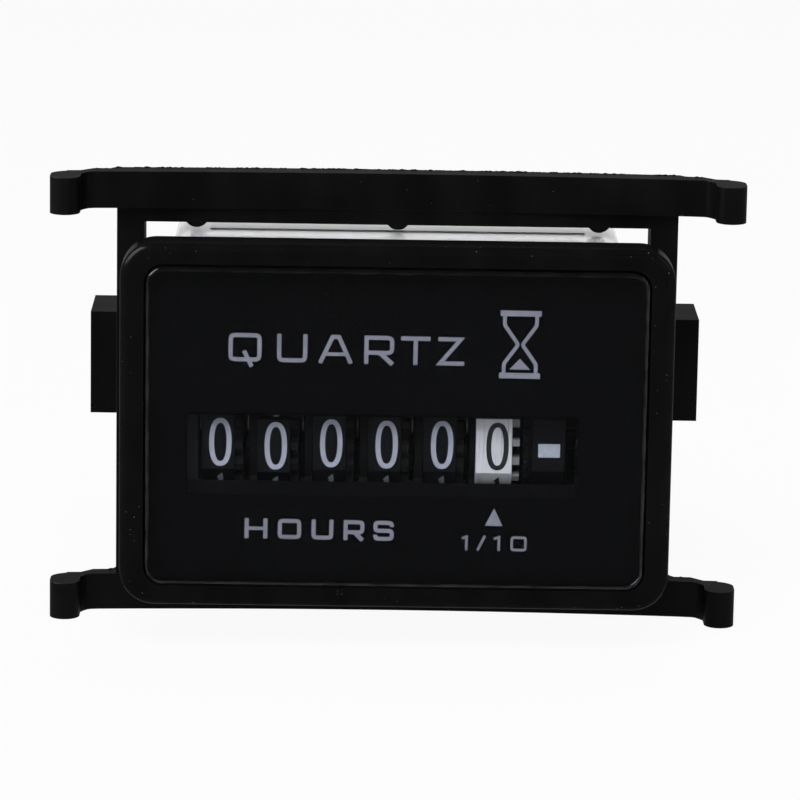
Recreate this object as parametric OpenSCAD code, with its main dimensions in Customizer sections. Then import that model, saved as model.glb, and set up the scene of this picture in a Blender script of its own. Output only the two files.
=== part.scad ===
// Panel-mount quartz hour meter with six number wheels and a slide-on mounting clip.
// Frame: X to the right, Y from the front to the back, Z up. The panel's front lies at Y = 0.

/* [Bezel] */
// Width of the bezel
bezel_w = 54; // [53:0.5:57]
// Height of the bezel
bezel_h = 36.2; // [35.8:0.2:39]
// Thickness of the bezel in front of the panel
bezel_t = 4; // [3.8:0.1:4.6]
// Corner radius of the bezel
bezel_r = 3.5; // [3:0.25:4.5]
// Rounding of the bezel's front edge
bezel_edge = 0.8; // [0.4:0.1:1]

/* [Lens] */
// Width of the rim around the lens, left and right
rim_side = 2.5; // [2.2:0.1:2.8]
// Width of the rim around the lens, top and bottom
rim_top = 2.2; // [2:0.1:2.4]
// Thickness of the lens
lens_t = 2; // [1.8:0.1:2.2]
// How far the lens stands in front of the bezel
lens_proud = 0.4; // [0.2:0.1:0.6]
// Corner radius of the lens
lens_r = 1.8; // [1.4:0.1:2.2]
// Rounding of the lens's front edge
lens_edge = 0.5; // [0.3:0.1:0.8]
// Thickness of the black mask behind the lens
mask_t = 0.3; // [0.2:0.05:0.4]
// Width of the window in the mask
window_w = 38.2; // [37.4:0.2:38.6]
// Height of the window in the mask
window_h = 8.5; // [8:0.1:8.6]
// How far the window's middle lies below the wheel shaft
window_drop = 0.7; // [0.5:0.1:0.8]

/* [Housing] */
// Width of the housing
body_w = 45; // [44.6:0.2:46]
// Height of the housing
body_h = 32.4; // [32:0.2:33]
// Depth of the housing behind the panel
body_depth = 36; // [35.6:0.2:39]
// Wall thickness of the housing
wall = 1.2; // [1:0.1:1.3]
// Corner radius of the housing
body_r = 2; // [1.8:0.1:2.6]
// Pitch of the ratchet teeth on the housing's sides
rack_pitch = 1.5; // [1.2:0.1:1.8]
// Height of the ratchet teeth
rack_h = 0.8; // [0.5:0.1:1]

/* [Number wheels] */
// Radius of the number drums
wheel_r = 8.6; // [8.5:0.05:8.7]
// Distance between neighbouring wheels
wheel_pitch = 5.45; // [5.4:0.01:5.48]
// Width of a number drum
drum_w = 3.3; // [3.1:0.05:3.35]
// Radius of the run indicator's drum
run_r = 8.2; // [8.1:0.05:8.3]
// Height of the wheel shaft below the middle of the bezel
shaft_drop = 2.2; // [2.1:0.05:2.6]
// Radius of the wheel shaft
shaft_r = 0.8; // [0.7:0.05:0.85]
// Radius of the pinion shaft
pinion_shaft_r = 0.5; // [0.4:0.05:0.5]

/* [Gears] */
// Module of the number wheels' rings and the carry pinions
carry_module = 0.7; // [0.69:0.005:0.71]
// Module of the rotor's pinion
rotor_module = 0.4; // [0.39:0.01:0.42]
// Play between meshing teeth, as a share of the module
backlash = 0.15; // [0.1:0.01:0.2]

/* [Terminals] */
// Width of a blade terminal
blade_w = 6.3; // [4.8:0.1:6.4]
// Thickness of a blade terminal
blade_t = 0.8; // [0.5:0.1:0.8]
// Length of a blade behind the housing
blade_l = 8; // [7.6:0.1:9]
// Distance between the two blades
blade_gap = 20; // [18:0.5:22]

/* [Mounting clip] */
// Overall width of the clip
clip_span = 69; // [68.5:0.5:74]
// Height of the spring bars
bar_h = 3.7; // [3.4:0.1:4]
// Thickness of the spring bars
bar_t = 2.6; // [2.2:0.1:2.8]
// How far the bars bow back in the middle
bar_bow = 1.3; // [0.8:0.1:1.6]
// Thickness of the feet
foot_t = 3; // [2.6:0.1:3.2]
// Distance of the feet from the bezel, the thickest panel for this place of the clip
panel_gap = 6.4; // [6:0.1:7]
// How far the feet reach in front of the bars
foot_reach = 4; // [3.6:0.1:4.4]
// Width of the side posts
post_w = 2.75; // [2.4:0.05:2.8]
// Height of the finger lugs
lug_h = 10.7; // [9.6:0.1:11.4]
// Air between the clip and the housing's ratchet teeth
clip_air = 0.2; // [0.15:0.05:0.3]

/* [Hidden] */
$fn = 64;

// Clearances
fit = 0.05;
seat = 0.1;
play = 0.15;
air = 0.3;
bite = 0.3;

// Depth of each layer behind the bezel's front
lens_front = -bezel_t - lens_proud;
lens_back = lens_front + lens_t;
mask_back = lens_back + mask_t;
web_t = 0.9;
web_back = mask_back + web_t;
lens_w = bezel_w - 2 * rim_side;
lens_h = bezel_h - 2 * rim_top;

// Inside of the housing
in_w = body_w - 2 * wall;
in_h = body_h - 2 * wall;
in_back = body_depth - wall;
plate_t = 1.2;
plate_air = 0.7;
plate_in = in_w / 2 - plate_air - plate_t;

// The works are drawn for these inside sizes, and follow the housing that they are put in
works_half = 19.4;
works_h = 30;
works_back = 34.8;
kx = plate_in / works_half;
k = min(in_h / works_h, in_back / works_back);
drum_r = wheel_r * k;
run_drum_r = run_r * k;
pitch = wheel_pitch * kx;
drum = drum_w * kx;
opening_w = window_w * kx;
window_x = -1.3 * kx;
tube_wall = 0.8;
tube_gap = 0.2;
sill_rise = 0.9;

// Wheel axis: the drums stand clear of the window's tube
axis_z = -shaft_drop;
tube_half = window_h / 2 + tube_gap;
window_z = axis_z - window_drop;
tube_l = 1.1;
tube_back = web_back + tube_l;
lip_rise = tube_half - window_drop;
axis_y = tube_back + air + fit + sqrt(pow(drum_r, 2) - pow(lip_rise, 2));

// Places of the wheels along the shaft
first_air = 0.35 * kx;
first_x = -plate_in + first_air + drum / 2;
function wheel_x(i) = first_x + i * pitch;
ring_w = 0.75 * kx;
carry_w = 0.8 * kx;
tenths_drum_w = drum + 0.3 * kx;
hub_r = 2 * k;
tenths_end = wheel_x(5) + tenths_drum_w / 2;
run_ring_x = tenths_end + ring_w + 0.2 * kx;
run_ring_w = 0.5 * kx;
run_drum_x = run_ring_x + run_ring_w + 0.3 * kx;
run_drum_w = 3.4 * kx;
run_pinion_x = run_drum_x + run_drum_w;
run_pinion_w = 1.25 * kx;
last_gear_x = run_pinion_x + run_pinion_w + 0.15 * kx;
last_gear_w = 0.8 * kx;

// Tooth counts
carry_teeth = 20;
tenths_teeth = 24;
run_teeth = 32;
pinion_teeth = 8;
pressure = 20;
gear_add = 0.5;
gear_ded = 1.1;
pin_add = 0.9;
pin_ded = 0.7;

// Axis of the carry pinions and the reduction gear, up and back from the wheel axis
ring_module = carry_module * k;
carry_dist = ring_module * (carry_teeth + pinion_teeth) / 2;
carry_angle = 60;
carry_y = axis_y + carry_dist * cos(carry_angle);
carry_z = axis_z + carry_dist * sin(carry_angle);
tenths_module = 2 * carry_dist / (tenths_teeth + pinion_teeth);
reduce_module = 2 * carry_dist / (run_teeth + pinion_teeth);

// Axis of the intermediate gear, down and back from the wheel axis
run_module = 0.5 * k;
inter_dist = run_module * (run_teeth + pinion_teeth) / 2;
inter_angle = -20;
inter_y = axis_y + inter_dist * cos(inter_angle);
inter_z = axis_z + inter_dist * sin(inter_angle);

// Axis of the motor's rotor, straight behind the intermediate gear
motor_module = rotor_module * k;
rotor_dist = motor_module * (run_teeth + pinion_teeth) / 2;
rotor_y = inter_y + rotor_dist;
rotor_z = inter_z;
magnet_r = 3 * k;
magnet_w = 3 * kx;
hub_slim = 1.2 * k;
rotor_hub_r = 1 * k;
sleeve_r = 0.9;
pivot_r = 0.4;
pivot_l = 0.8;
magnet_x = run_drum_x + 0.6 * kx;

// Bridge that holds the left pivots of the motor's gears
bridge_t = 1.2;
bridge_x = run_ring_x - 0.3 * kx - bridge_t;
bridge_edge = 2.4 * k;

// Motor
stator_x = magnet_x + magnet_w / 3;
stator_t = magnet_w / 3;
stator_half = 4.8 * k;
upright_w = 2 * k;
stator_low = rotor_z - 3.9 * k;
stator_top = rotor_z + 15 * k;
stator_gap_z = rotor_z + 4 * k;
screw_z = rotor_z + 7 * k;
core_t = 1;
core_h = 2.8 * k;
core_z = stator_top - 1.6 * k;
coil_x = stator_x - core_t / 2;
coil_half = stator_half - upright_w - 0.2;
coil_skin = 0.5;
flange_x = 1.5;
flange_z = 1.2;
flange_r = 0.8;
wire_in = 0.3;
screw_r = 0.55;
screw_l = 2.2;
head_r = 0.95;
head_l = 0.8;
slot_w = 0.25;
slot_d = 0.4;
pillar_r = 1;

// Circuit board
board_y = in_back - 3.8;
board_t = 1.2;
board_w = in_w - 3.6;
board_h = in_h - 3;
rail_t = 1.4;
rail_top = -in_h / 2 + rail_t;
boss_r = 2;
boss_l = 6;
boss_z = rail_top + boss_r - bite;
boss_x = board_w / 2 - 5.5;
board_screw_l = 4;
board_head_r = 1.2;
board_head_l = 0.9;
crystal_r = 1;
crystal_l = 6;
crystal_x = -board_w / 2 + 10.5;
crystal_z = -3;
chip_w = 5.4;
chip_h = 4;
chip_t = 1.5;
chip_x = -3;
chip_z = 3;
cap_r = 2.5;
cap_l = 7;
cap_x = -board_w / 2 + 8.5;
cap_z = 6;
lead_part_r = 0.8;
resistor_l = 5;
resistor_x = -6;
resistor_z = -8;
diode_l = 4.5;
diode_x = 4;

// Frame of the counter: the bar over the wheels lies in front of the reduction gear
plate_low = -in_h / 2 + 0.3;
plate_top = carry_z + 4;
top_bar_y = tube_back + 1.1;
top_bar_t = 2;
top_bar_h = 2.4;
rail_y = axis_y - 4 * k;

// Clip
foot_x = clip_span / 2 - foot_t / 2;
bar_rise = 6.3;
bar_top = body_h / 2 + bar_rise;
bar_low = bar_top - bar_h;
bar_end_y = panel_gap + foot_reach;
bar_mid_y = bar_end_y + bar_bow;
bar_arc_r = (pow(foot_x, 2) + pow(bar_bow, 2)) / (2 * bar_bow);
function bar_front(x) = bar_mid_y - bar_arc_r + sqrt(pow(bar_arc_r, 2) - pow(x, 2));
foot_fillet = 1.2;
fillet_x = foot_x - foot_t / 2 - foot_fillet;
heel_y = foot_reach + bar_t - 1.5 * foot_t;
collar_air = 1.1;
collar_z = body_h / 2 + collar_air;
collar_l = 4.6;
collar_y0 = bar_mid_y + 0.1;
collar_y1 = collar_y0 + collar_l;
post_air = 2.8;
post_in = body_w / 2 + post_air;
post_out = post_in + post_w;
leg_back = body_depth - 2;
lug_t = 3.35;
lug_y = leg_back - 9;
bump_r = 1.25;
bump_h = 0.5;
bump_x = body_w / 2 - 2.4;

// Ratchet and ribs of the housing
rack_y0 = 7;
rack_n = floor((body_depth - rack_y0 - 2) / rack_pitch);
rack_half = lug_h / 2 - 0.8;
rib_h = 0.4;
rib_half = body_w / 2 - 3.7;
rib_y = collar_y0 + 2.4;

// Helpers: a flat shape given a depth along one axis

module along_y(y0, y1) {
    rotate([90, 0, 0])
        translate([0, 0, -y1])
            linear_extrude(y1 - y0)
                children();
}

module along_x(x0, x1) {
    translate([x0, 0, 0])
        rotate([90, 0, 90])
            linear_extrude(x1 - x0)
                children();
}

module along_z(z0, z1) {
    translate([0, 0, z0])
        linear_extrude(z1 - z0)
            children();
}

module block(x, y, z) {
    translate([x[0], y[0], z[0]])
        cube([x[1] - x[0], y[1] - y[0], z[1] - z[0]]);
}

module rod_x(y, z, r, x0, x1) {
    translate([x0, y, z])
        rotate([0, 90, 0])
            cylinder(r = r, h = x1 - x0);
}

module rod_y(x, z, r, y0, y1) {
    translate([x, y1, z])
        rotate([90, 0, 0])
            cylinder(r = r, h = y1 - y0);
}

module both_x() {
    children();
    mirror([1, 0, 0])
        children();
}

module both_z() {
    children();
    mirror([0, 0, 1])
        children();
}

module round_rect(w, h, r) {
    square([w - 2 * r, h], center = true);
    square([w, h - 2 * r], center = true);
    for (sx = [-1, 1], sy = [-1, 1])
        translate([sx * (w / 2 - r), sy * (h / 2 - r)])
            circle(r);
}

// A half-side view with its front corners rounded, used to round a plate's front edge
module front_round(w, y0, y1, e) {
    translate([-w / 2, y0 + e])
        square([w, y1 - y0 - e]);
    translate([-w / 2 + e, y0])
        square([w - 2 * e, y1 - y0]);
    for (s = [-1, 1])
        translate([s * (w / 2 - e), y0 + e])
            circle(e);
}

module soft_plate(w, h, r, y0, y1, e) {
    intersection() {
        along_y(y0, y1)
            round_rect(w, h, r);
        along_z(-h, h)
            front_round(w, y0, y1, e);
        rotate([0, 90, 0])
            along_z(-w, w)
                front_round(h, y0, y1, e);
    }
}

// Involute teeth, centred on the given angle; flanks are chords that lie inside the curve
function inv(a) = tan(a) * 180 / PI - a;

function tooth_half(n, m, thick, r) =
    thick / (n * m) * 180 / PI + inv(pressure) - inv(acos(min(1, n * m / 2 * cos(pressure) / r)));

function polar(r, a) = [r * cos(a), r * sin(a)];

function gear_points(n, m, add, ded, phase) =
    let (
        rp = n * m / 2,
        root = rp - ded * m,
        low = max(root, rp * cos(pressure)),
        tip = rp + add * m,
        thick = PI * m / 2 - backlash * m,
        rise = [for (k = [0:3]) low + (tip - low) * k / 3]
    )
    [
        for (i = [0:n - 1])
            let (a = phase + 360 * i / n)
                for (p = concat(
                    [polar(root, a - tooth_half(n, m, thick, low))],
                    [for (r = rise) polar(r, a - tooth_half(n, m, thick, r))],
                    [for (k = [3:-1:0]) polar(rise[k], a + tooth_half(n, m, thick, rise[k]))],
                    [polar(root, a + tooth_half(n, m, thick, low))]
                )) p
    ];

// A wheel with a tooth towards the given angle
module wheel_teeth(n, m, phase) {
    polygon(gear_points(n, m, gear_add, gear_ded, phase));
}

// A pinion with a gap towards the given angle
module pinion(m, phase) {
    polygon(gear_points(pinion_teeth, m, pin_add, pin_ded, phase + 180 / pinion_teeth));
}

module on_axis(y, z) {
    translate([0, y, z])
        children();
}

// Case

module bezel() {
    color("#141414")
        difference() {
            soft_plate(bezel_w, bezel_h, bezel_r, -bezel_t, 0, bezel_edge);
            along_y(-bezel_t - 1, mask_back)
                round_rect(lens_w + 2 * seat, lens_h + 2 * seat, lens_r + seat);
            difference() {
                along_y(web_back, 1)
                    round_rect(body_w + 2 * seat, body_h + 2 * seat, body_r + seat);
                along_y(web_back - 1, tube_back)
                    intersection() {
                        translate([window_x, window_z])
                            round_rect(opening_w + 2 * (tube_gap + tube_wall), 2 * (tube_half + tube_wall), 1);
                        square([in_w - 2 * seat, in_h], center = true);
                    }
            }
            translate([window_x, 0, window_z])
                along_x(-opening_w / 2 - tube_gap, opening_w / 2 + tube_gap)
                    polygon([
                        [-bezel_t, tube_half], [-bezel_t, -tube_half], [mask_back, -tube_half],
                        [tube_back, sill_rise - tube_half], [tube_back + 1, sill_rise - tube_half],
                        [tube_back + 1, tube_half]
                    ]);
        }
}

module lens() {
    color("#1c2024", 0.35)
        soft_plate(lens_w, lens_h, lens_r, lens_front, lens_back, lens_edge);
}

module face_mask() {
    color("#0c0c0c")
        along_y(lens_back, mask_back)
            difference() {
                round_rect(lens_w, lens_h, lens_r);
                translate([window_x, window_z])
                    square([opening_w, window_h], center = true);
            }
}

// Saw teeth along one side wall
module rack() {
    along_z(-rack_half, rack_half)
        for (i = [0:rack_n - 1])
            translate([body_w / 2, rack_y0 + i * rack_pitch])
                polygon([
                    [-bite, 0], [0, 0], [rack_h, rack_pitch * 0.8],
                    [rack_h, rack_pitch], [-bite, rack_pitch]
                ]);
}

module polarity_marks() {
    mark = 2.4;
    stroke = 0.6;
    for (s = [-1, 1])
        translate([s * blade_gap / 2, 0, 5])
            along_y(in_back + bite, body_depth + 0.4)
                square([mark, stroke], center = true);
    translate([blade_gap / 2, 0, 5])
        along_y(in_back + bite, body_depth + 0.4)
            square([stroke, mark], center = true);
}

module blade_guard(s) {
    translate([s * blade_gap / 2, 0, 0])
        along_y(in_back + bite, body_depth + 0.8)
            difference() {
                round_rect(blade_w + 4, blade_t + 4, 1.2);
                square([blade_w + 2, blade_t + 2], center = true);
            }
}

module housing() {
    color("#c8cacb")
        difference() {
            union() {
                along_y(web_back, body_depth)
                    round_rect(body_w, body_h, body_r);
                both_z()
                    along_y(rib_y, body_depth)
                        translate([-rib_half, body_h / 2 - bite])
                            square([2 * rib_half, rib_h + bite]);
                both_x()
                    rack();
                polarity_marks();
                blade_guard(-1);
                blade_guard(1);
            }
            along_y(web_back - 1, in_back)
                round_rect(in_w, in_h, body_r - wall + 0.2);
            for (s = [-1, 1])
                translate([s * blade_gap / 2, 0, 0])
                    along_y(in_back - 1, body_depth + 2)
                        square([blade_w + 2 * fit, blade_t + 2 * fit], center = true);
        }
}

// A blade with a latch hole, a pointed end and a shoulder between board and housing
module terminal(s) {
    shoulder = blade_w + 2;
    tip = body_depth + blade_l;
    color("#d8b25a")
        translate([s * blade_gap / 2, 0, 0])
            along_z(-blade_t / 2, blade_t / 2)
                difference() {
                    union() {
                        translate([-shoulder / 2, board_y + board_t])
                            square([shoulder, in_back - board_y - board_t]);
                        polygon([
                            [-blade_w / 2, in_back - bite], [blade_w / 2, in_back - bite],
                            [blade_w / 2, tip - 1], [blade_w / 2 - 1, tip],
                            [1 - blade_w / 2, tip], [-blade_w / 2, tip - 1]
                        ]);
                    }
                    translate([0, tip - 3])
                        circle(0.85);
                }
}

module terminal_positive() {
    terminal(1);
}

module terminal_negative() {
    terminal(-1);
}

// Counter

module frame_plate() {
    clear = tube_half + tube_wall + 0.4;
    union() {
        block([plate_in, plate_in + plate_t], [tube_back + seat, board_y], [plate_low, plate_top]);
        block([plate_in, plate_in + plate_t], [web_back, board_y], [plate_low, window_z - clear]);
        block([plate_in, plate_in + plate_t], [web_back, board_y], [window_z + clear, plate_top]);
    }
}

module frame_bridge() {
    along_x(bridge_x, bridge_x + bridge_t)
        difference() {
            translate([axis_y, -in_h / 2])
                square([rotor_y + bridge_edge - axis_y, inter_z + bridge_edge + in_h / 2]);
            translate([axis_y, axis_z])
                circle(drum_r + 0.5);
        }
}

module counter_frame() {
    pillar_y = stator_half - upright_w / 2;
    color("#3a3c3e")
        difference() {
            union() {
                both_x()
                    frame_plate();
                block([-plate_in - bite, plate_in + bite], [rail_y, board_y], [-in_h / 2, rail_top]);
                along_x(-plate_in - bite, plate_in + bite)
                    translate([top_bar_y, plate_top - top_bar_h])
                        square([top_bar_t, top_bar_h]);
                frame_bridge();
                for (s = [-1, 1])
                    rod_y(s * boss_x, boss_z, boss_r, board_y - boss_l, board_y);
                for (s = [-1, 1])
                    on_axis(rotor_y + s * pillar_y, screw_z)
                        along_x(stator_x + stator_t, plate_in + bite)
                            circle(pillar_r);
            }
            rod_x(axis_y, axis_z, shaft_r, -body_w, body_w);
            rod_x(carry_y, carry_z, pinion_shaft_r, -body_w, body_w);
            for (y = [inter_y, rotor_y])
                rod_x(y, inter_z, pivot_r + fit, bridge_x - 1, body_w);
            for (s = [-1, 1])
                rod_y(s * boss_x, boss_z, screw_r, board_y - board_screw_l - 0.2, board_y + 1);
            for (s = [-1, 1])
                on_axis(rotor_y + s * pillar_y, screw_z)
                    along_x(stator_x, stator_x + stator_t + screw_l + 0.2)
                        circle(screw_r);
        }
}

module wheel_shaft() {
    color("#b9bdc0")
        rod_x(axis_y, axis_z, shaft_r, -plate_in - plate_t, plate_in + plate_t);
}

module pinion_shaft() {
    color("#b9bdc0")
        rod_x(carry_y, carry_z, pinion_shaft_r, -plate_in - plate_t, plate_in + plate_t);
}

// Rim, web and hub of a wheel as one turned shape, from x0 to x1 with the hub from h0 to h1
module turned_wheel(r, x0, x1, h0, h1) {
    rim = 1.1;
    web = 1;
    mid = (x0 + x1) / 2;
    on_axis(axis_y, axis_z)
        rotate([0, 90, 0])
            rotate_extrude()
                polygon([
                    [shaft_r + fit, h0], [hub_r, h0], [hub_r, mid - web / 2], [r - rim, mid - web / 2],
                    [r - rim, x0], [r, x0], [r, x1], [r - rim, x1],
                    [r - rim, mid + web / 2], [hub_r, mid + web / 2], [hub_r, h1], [shaft_r + fit, h1]
                ]);
}

// A toothed ring beside a drum; it reaches into the drum's web so that both are one moulding
module toothed_ring(n, m, angle, x0, x1, reach) {
    inner = n * m / 2 - gear_ded * m - 1.1;
    on_axis(axis_y, axis_z) {
        along_x(x0, x1)
            difference() {
                wheel_teeth(n, m, angle);
                circle(inner);
            }
        along_x(min(x0, reach), max(x1, reach))
            difference() {
                circle(inner + 0.6);
                circle(inner);
            }
    }
}

// Locking rim with two carry teeth, on the left of a wheel that advances its neighbour
module carry_disc(x0, x1, reach) {
    rim = ring_module * (carry_teeth / 2 - gear_ded) - 0.1;
    step = 360 / carry_teeth;
    on_axis(axis_y, axis_z) {
        along_x(x0, x1)
            difference() {
                union() {
                    circle(rim);
                    intersection() {
                        wheel_teeth(carry_teeth, ring_module, carry_angle + 180 + step / 2);
                        rotate(carry_angle + 180)
                            polygon([[0, 0], polar(2 * rim, -step), polar(2 * rim, step)]);
                    }
                }
                circle(rim - 1.4);
            }
        along_x(x0, reach)
            difference() {
                circle(rim - 0.8);
                circle(rim - 1.4);
            }
    }
}

module number_wheel(i) {
    x = wheel_x(i);
    tenths = i == 5;
    half = (tenths ? tenths_drum_w : drum) / 2;
    start = x - drum / 2 - carry_w - play;
    hub_0 = i == 0 ? -plate_in + 0.1 : start;
    hub_1 = tenths ? tenths_end + ring_w + 0.05 : start + pitch - play;
    color(tenths ? "#e4e6e8" : "#161616")
        union() {
            turned_wheel(drum_r, x - half, x + half, hub_0, hub_1);
            if (tenths)
                toothed_ring(tenths_teeth, tenths_module, carry_angle, x + half, x + half + ring_w, x);
            else
                toothed_ring(carry_teeth, ring_module, carry_angle, x + half, x + half + ring_w, x);
            if (i > 0)
                carry_disc(x - drum / 2 - carry_w, x - half, x);
        }
}

module wheel_ten_thousands() {
    number_wheel(0);
}

module wheel_thousands() {
    number_wheel(1);
}

module wheel_hundreds() {
    number_wheel(2);
}

module wheel_tens() {
    number_wheel(3);
}

module wheel_units() {
    number_wheel(4);
}

module wheel_tenths() {
    number_wheel(5);
}

module run_wheel() {
    run_mid = run_drum_x + run_drum_w / 2;
    color("#232323")
        union() {
            turned_wheel(run_drum_r, run_drum_x, run_pinion_x, run_ring_x - 0.1, run_pinion_x - 0.2);
            toothed_ring(run_teeth, run_module, inter_angle, run_ring_x, run_ring_x + run_ring_w, run_mid);
            on_axis(axis_y, axis_z) {
                along_x(run_mid, run_pinion_x + run_pinion_w)
                    difference() {
                        pinion(reduce_module, carry_angle);
                        circle(shaft_r + fit);
                    }
                along_x(run_mid, plate_in - 0.1)
                    difference() {
                        circle(shaft_r + fit + 0.5);
                        circle(shaft_r + fit);
                    }
            }
        }
}

// A carry pinion with the sleeve that spaces it along its shaft
module carry_pinion(i) {
    x = wheel_x(i) + drum / 2;
    color("#d9d4c4")
        on_axis(carry_y, carry_z)
            difference() {
                union() {
                    along_x(x + 0.1, x + ring_w + 0.35 * kx)
                        pinion(ring_module, carry_angle + 180);
                    along_x(x - drum + 0.05, x - drum + pitch - play)
                        circle(sleeve_r);
                }
                along_x(x - pitch, x + pitch)
                    circle(pinion_shaft_r + fit);
            }
}

module carry_pinion_1() {
    carry_pinion(0);
}

module carry_pinion_2() {
    carry_pinion(1);
}

module carry_pinion_3() {
    carry_pinion(2);
}

module carry_pinion_4() {
    carry_pinion(3);
}

module carry_pinion_5() {
    carry_pinion(4);
}

// Motor and its gears

module reduction_gear() {
    x0 = wheel_x(5) - drum / 2 + 0.05;
    color("#d9d4c4")
        on_axis(carry_y, carry_z)
            difference() {
                union() {
                    along_x(tenths_end + 0.05, tenths_end + ring_w - 0.05)
                        pinion(tenths_module, carry_angle + 180);
                    along_x(x0, tenths_end + 0.2)
                        circle(sleeve_r);
                    along_x(tenths_end + 0.1, plate_in - 0.1)
                        circle(hub_slim);
                    along_x(run_pinion_x + 0.15, run_pinion_x + run_pinion_w - 0.2)
                        wheel_teeth(run_teeth, reduce_module, carry_angle + 180);
                }
                along_x(x0 - 1, plate_in + 1)
                    circle(pinion_shaft_r + fit);
            }
}

module intermediate_gear() {
    color("#d9d4c4")
        on_axis(inter_y, inter_z)
            union() {
                along_x(run_ring_x - 0.05, run_ring_x + run_ring_w + 0.05)
                    pinion(run_module, inter_angle + 180);
                along_x(bridge_x + bridge_t + 0.1, plate_in - 0.1)
                    circle(hub_slim);
                along_x(last_gear_x, last_gear_x + last_gear_w)
                    wheel_teeth(run_teeth, motor_module, 0);
                along_x(bridge_x + bridge_t - pivot_l, plate_in + pivot_l)
                    circle(pivot_r);
            }
}

module motor_rotor() {
    color("#55585c")
        on_axis(rotor_y, rotor_z)
            union() {
                along_x(magnet_x, magnet_x + magnet_w)
                    circle(magnet_r);
                along_x(bridge_x + bridge_t + 0.1, plate_in - 0.1)
                    circle(rotor_hub_r);
                along_x(last_gear_x - 0.1, last_gear_x + last_gear_w + 0.05)
                    pinion(motor_module, 180);
                along_x(bridge_x + bridge_t - pivot_l, plate_in + pivot_l)
                    circle(pivot_r);
            }
}

module motor_stator() {
    color("#9aa0a4")
        along_x(stator_x, stator_x + stator_t)
            difference() {
                translate([rotor_y - stator_half, stator_low])
                    square([2 * stator_half, stator_top - stator_low]);
                translate([rotor_y - stator_half + upright_w, stator_gap_z])
                    square([2 * (stator_half - upright_w), stator_top - stator_gap_z + 1]);
                translate([rotor_y, rotor_z])
                    circle(magnet_r + 0.4);
                for (s = [-1, 1])
                    translate([rotor_y + s * (stator_half - upright_w / 2), screw_z])
                        circle(screw_r);
            }
}

module coil_core() {
    color("#9aa0a4")
        on_axis(rotor_y, core_z)
            along_x(stator_x - core_t, stator_x)
                square([2 * stator_half, core_h], center = true);
}

module coil_bobbin() {
    tube_w = core_t + 2 * coil_skin;
    tube_h = core_h + 2 * coil_skin;
    color("#e9e6da")
        translate([coil_x, rotor_y, core_z])
            difference() {
                union() {
                    along_y(-coil_half, coil_half)
                        square([tube_w, tube_h], center = true);
                    for (s = [-1, 1])
                        translate([0, s * (coil_half - coil_skin / 2), 0])
                            along_y(-coil_skin / 2, coil_skin / 2)
                                round_rect(tube_w + 2 * flange_x, tube_h + 2 * flange_z, flange_r);
                }
                along_y(-coil_half - 1, coil_half + 1)
                    square([core_t + 2 * fit, core_h + 2 * fit], center = true);
            }
}

module coil_winding() {
    half = coil_half - coil_skin;
    tube_w = core_t + 2 * coil_skin;
    tube_h = core_h + 2 * coil_skin;
    color("#b3622d")
        translate([coil_x, rotor_y, core_z])
            along_y(-half, half)
                difference() {
                    round_rect(tube_w + 2 * (flange_x - wire_in), tube_h + 2 * (flange_z - wire_in), 1.2);
                    square([tube_w, tube_h], center = true);
                }
}

module motor_screw(s) {
    color("#b9bdc0")
        on_axis(rotor_y + s * (stator_half - upright_w / 2), screw_z)
            difference() {
                union() {
                    along_x(stator_x - head_l, stator_x)
                        circle(head_r);
                    along_x(stator_x - bite, stator_x + stator_t + screw_l)
                        circle(screw_r);
                }
                along_x(stator_x - head_l - 1, stator_x - head_l + slot_d)
                    square([slot_w, 3 * head_r], center = true);
            }
}

module motor_screw_front() {
    motor_screw(-1);
}

module motor_screw_rear() {
    motor_screw(1);
}

// Electronics

module circuit_board() {
    color("#2f6b45")
        difference() {
            block([-board_w / 2, board_w / 2], [board_y, board_y + board_t], [-board_h / 2, board_h / 2]);
            for (s = [-1, 1])
                rod_y(s * boss_x, boss_z, screw_r, board_y - 1, board_y + board_t + 1);
        }
}

module board_screw(s) {
    back = board_y + board_t;
    color("#b9bdc0")
        difference() {
            union() {
                rod_y(s * boss_x, boss_z, screw_r, board_y - board_screw_l, back + bite);
                rod_y(s * boss_x, boss_z, board_head_r, back, back + board_head_l);
            }
            translate([s * boss_x, 0, boss_z])
                along_y(back + board_head_l - slot_d, back + board_head_l + 1)
                    square([3 * board_head_r, slot_w], center = true);
        }
}

module board_screw_left() {
    board_screw(-1);
}

module board_screw_right() {
    board_screw(1);
}

module quartz_crystal() {
    color("#c9ccd0")
        rod_x(board_y - crystal_r, crystal_z, crystal_r, crystal_x, crystal_x + crystal_l);
}

module timer_chip() {
    color("#1b1b1d")
        block([chip_x, chip_x + chip_w], [board_y - chip_t, board_y], [chip_z, chip_z + chip_h]);
}

module capacitor() {
    color("#22304d")
        rod_y(cap_x, cap_z, cap_r, board_y - cap_l, board_y);
}

module resistor() {
    color("#b9a57c")
        rod_x(board_y - lead_part_r, resistor_z, lead_part_r, resistor_x, resistor_x + resistor_l);
}

module diode() {
    color("#2a2a2a")
        rod_x(board_y - lead_part_r, 0, lead_part_r, diode_x, diode_x + diode_l);
}

// Mounting clip

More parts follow.
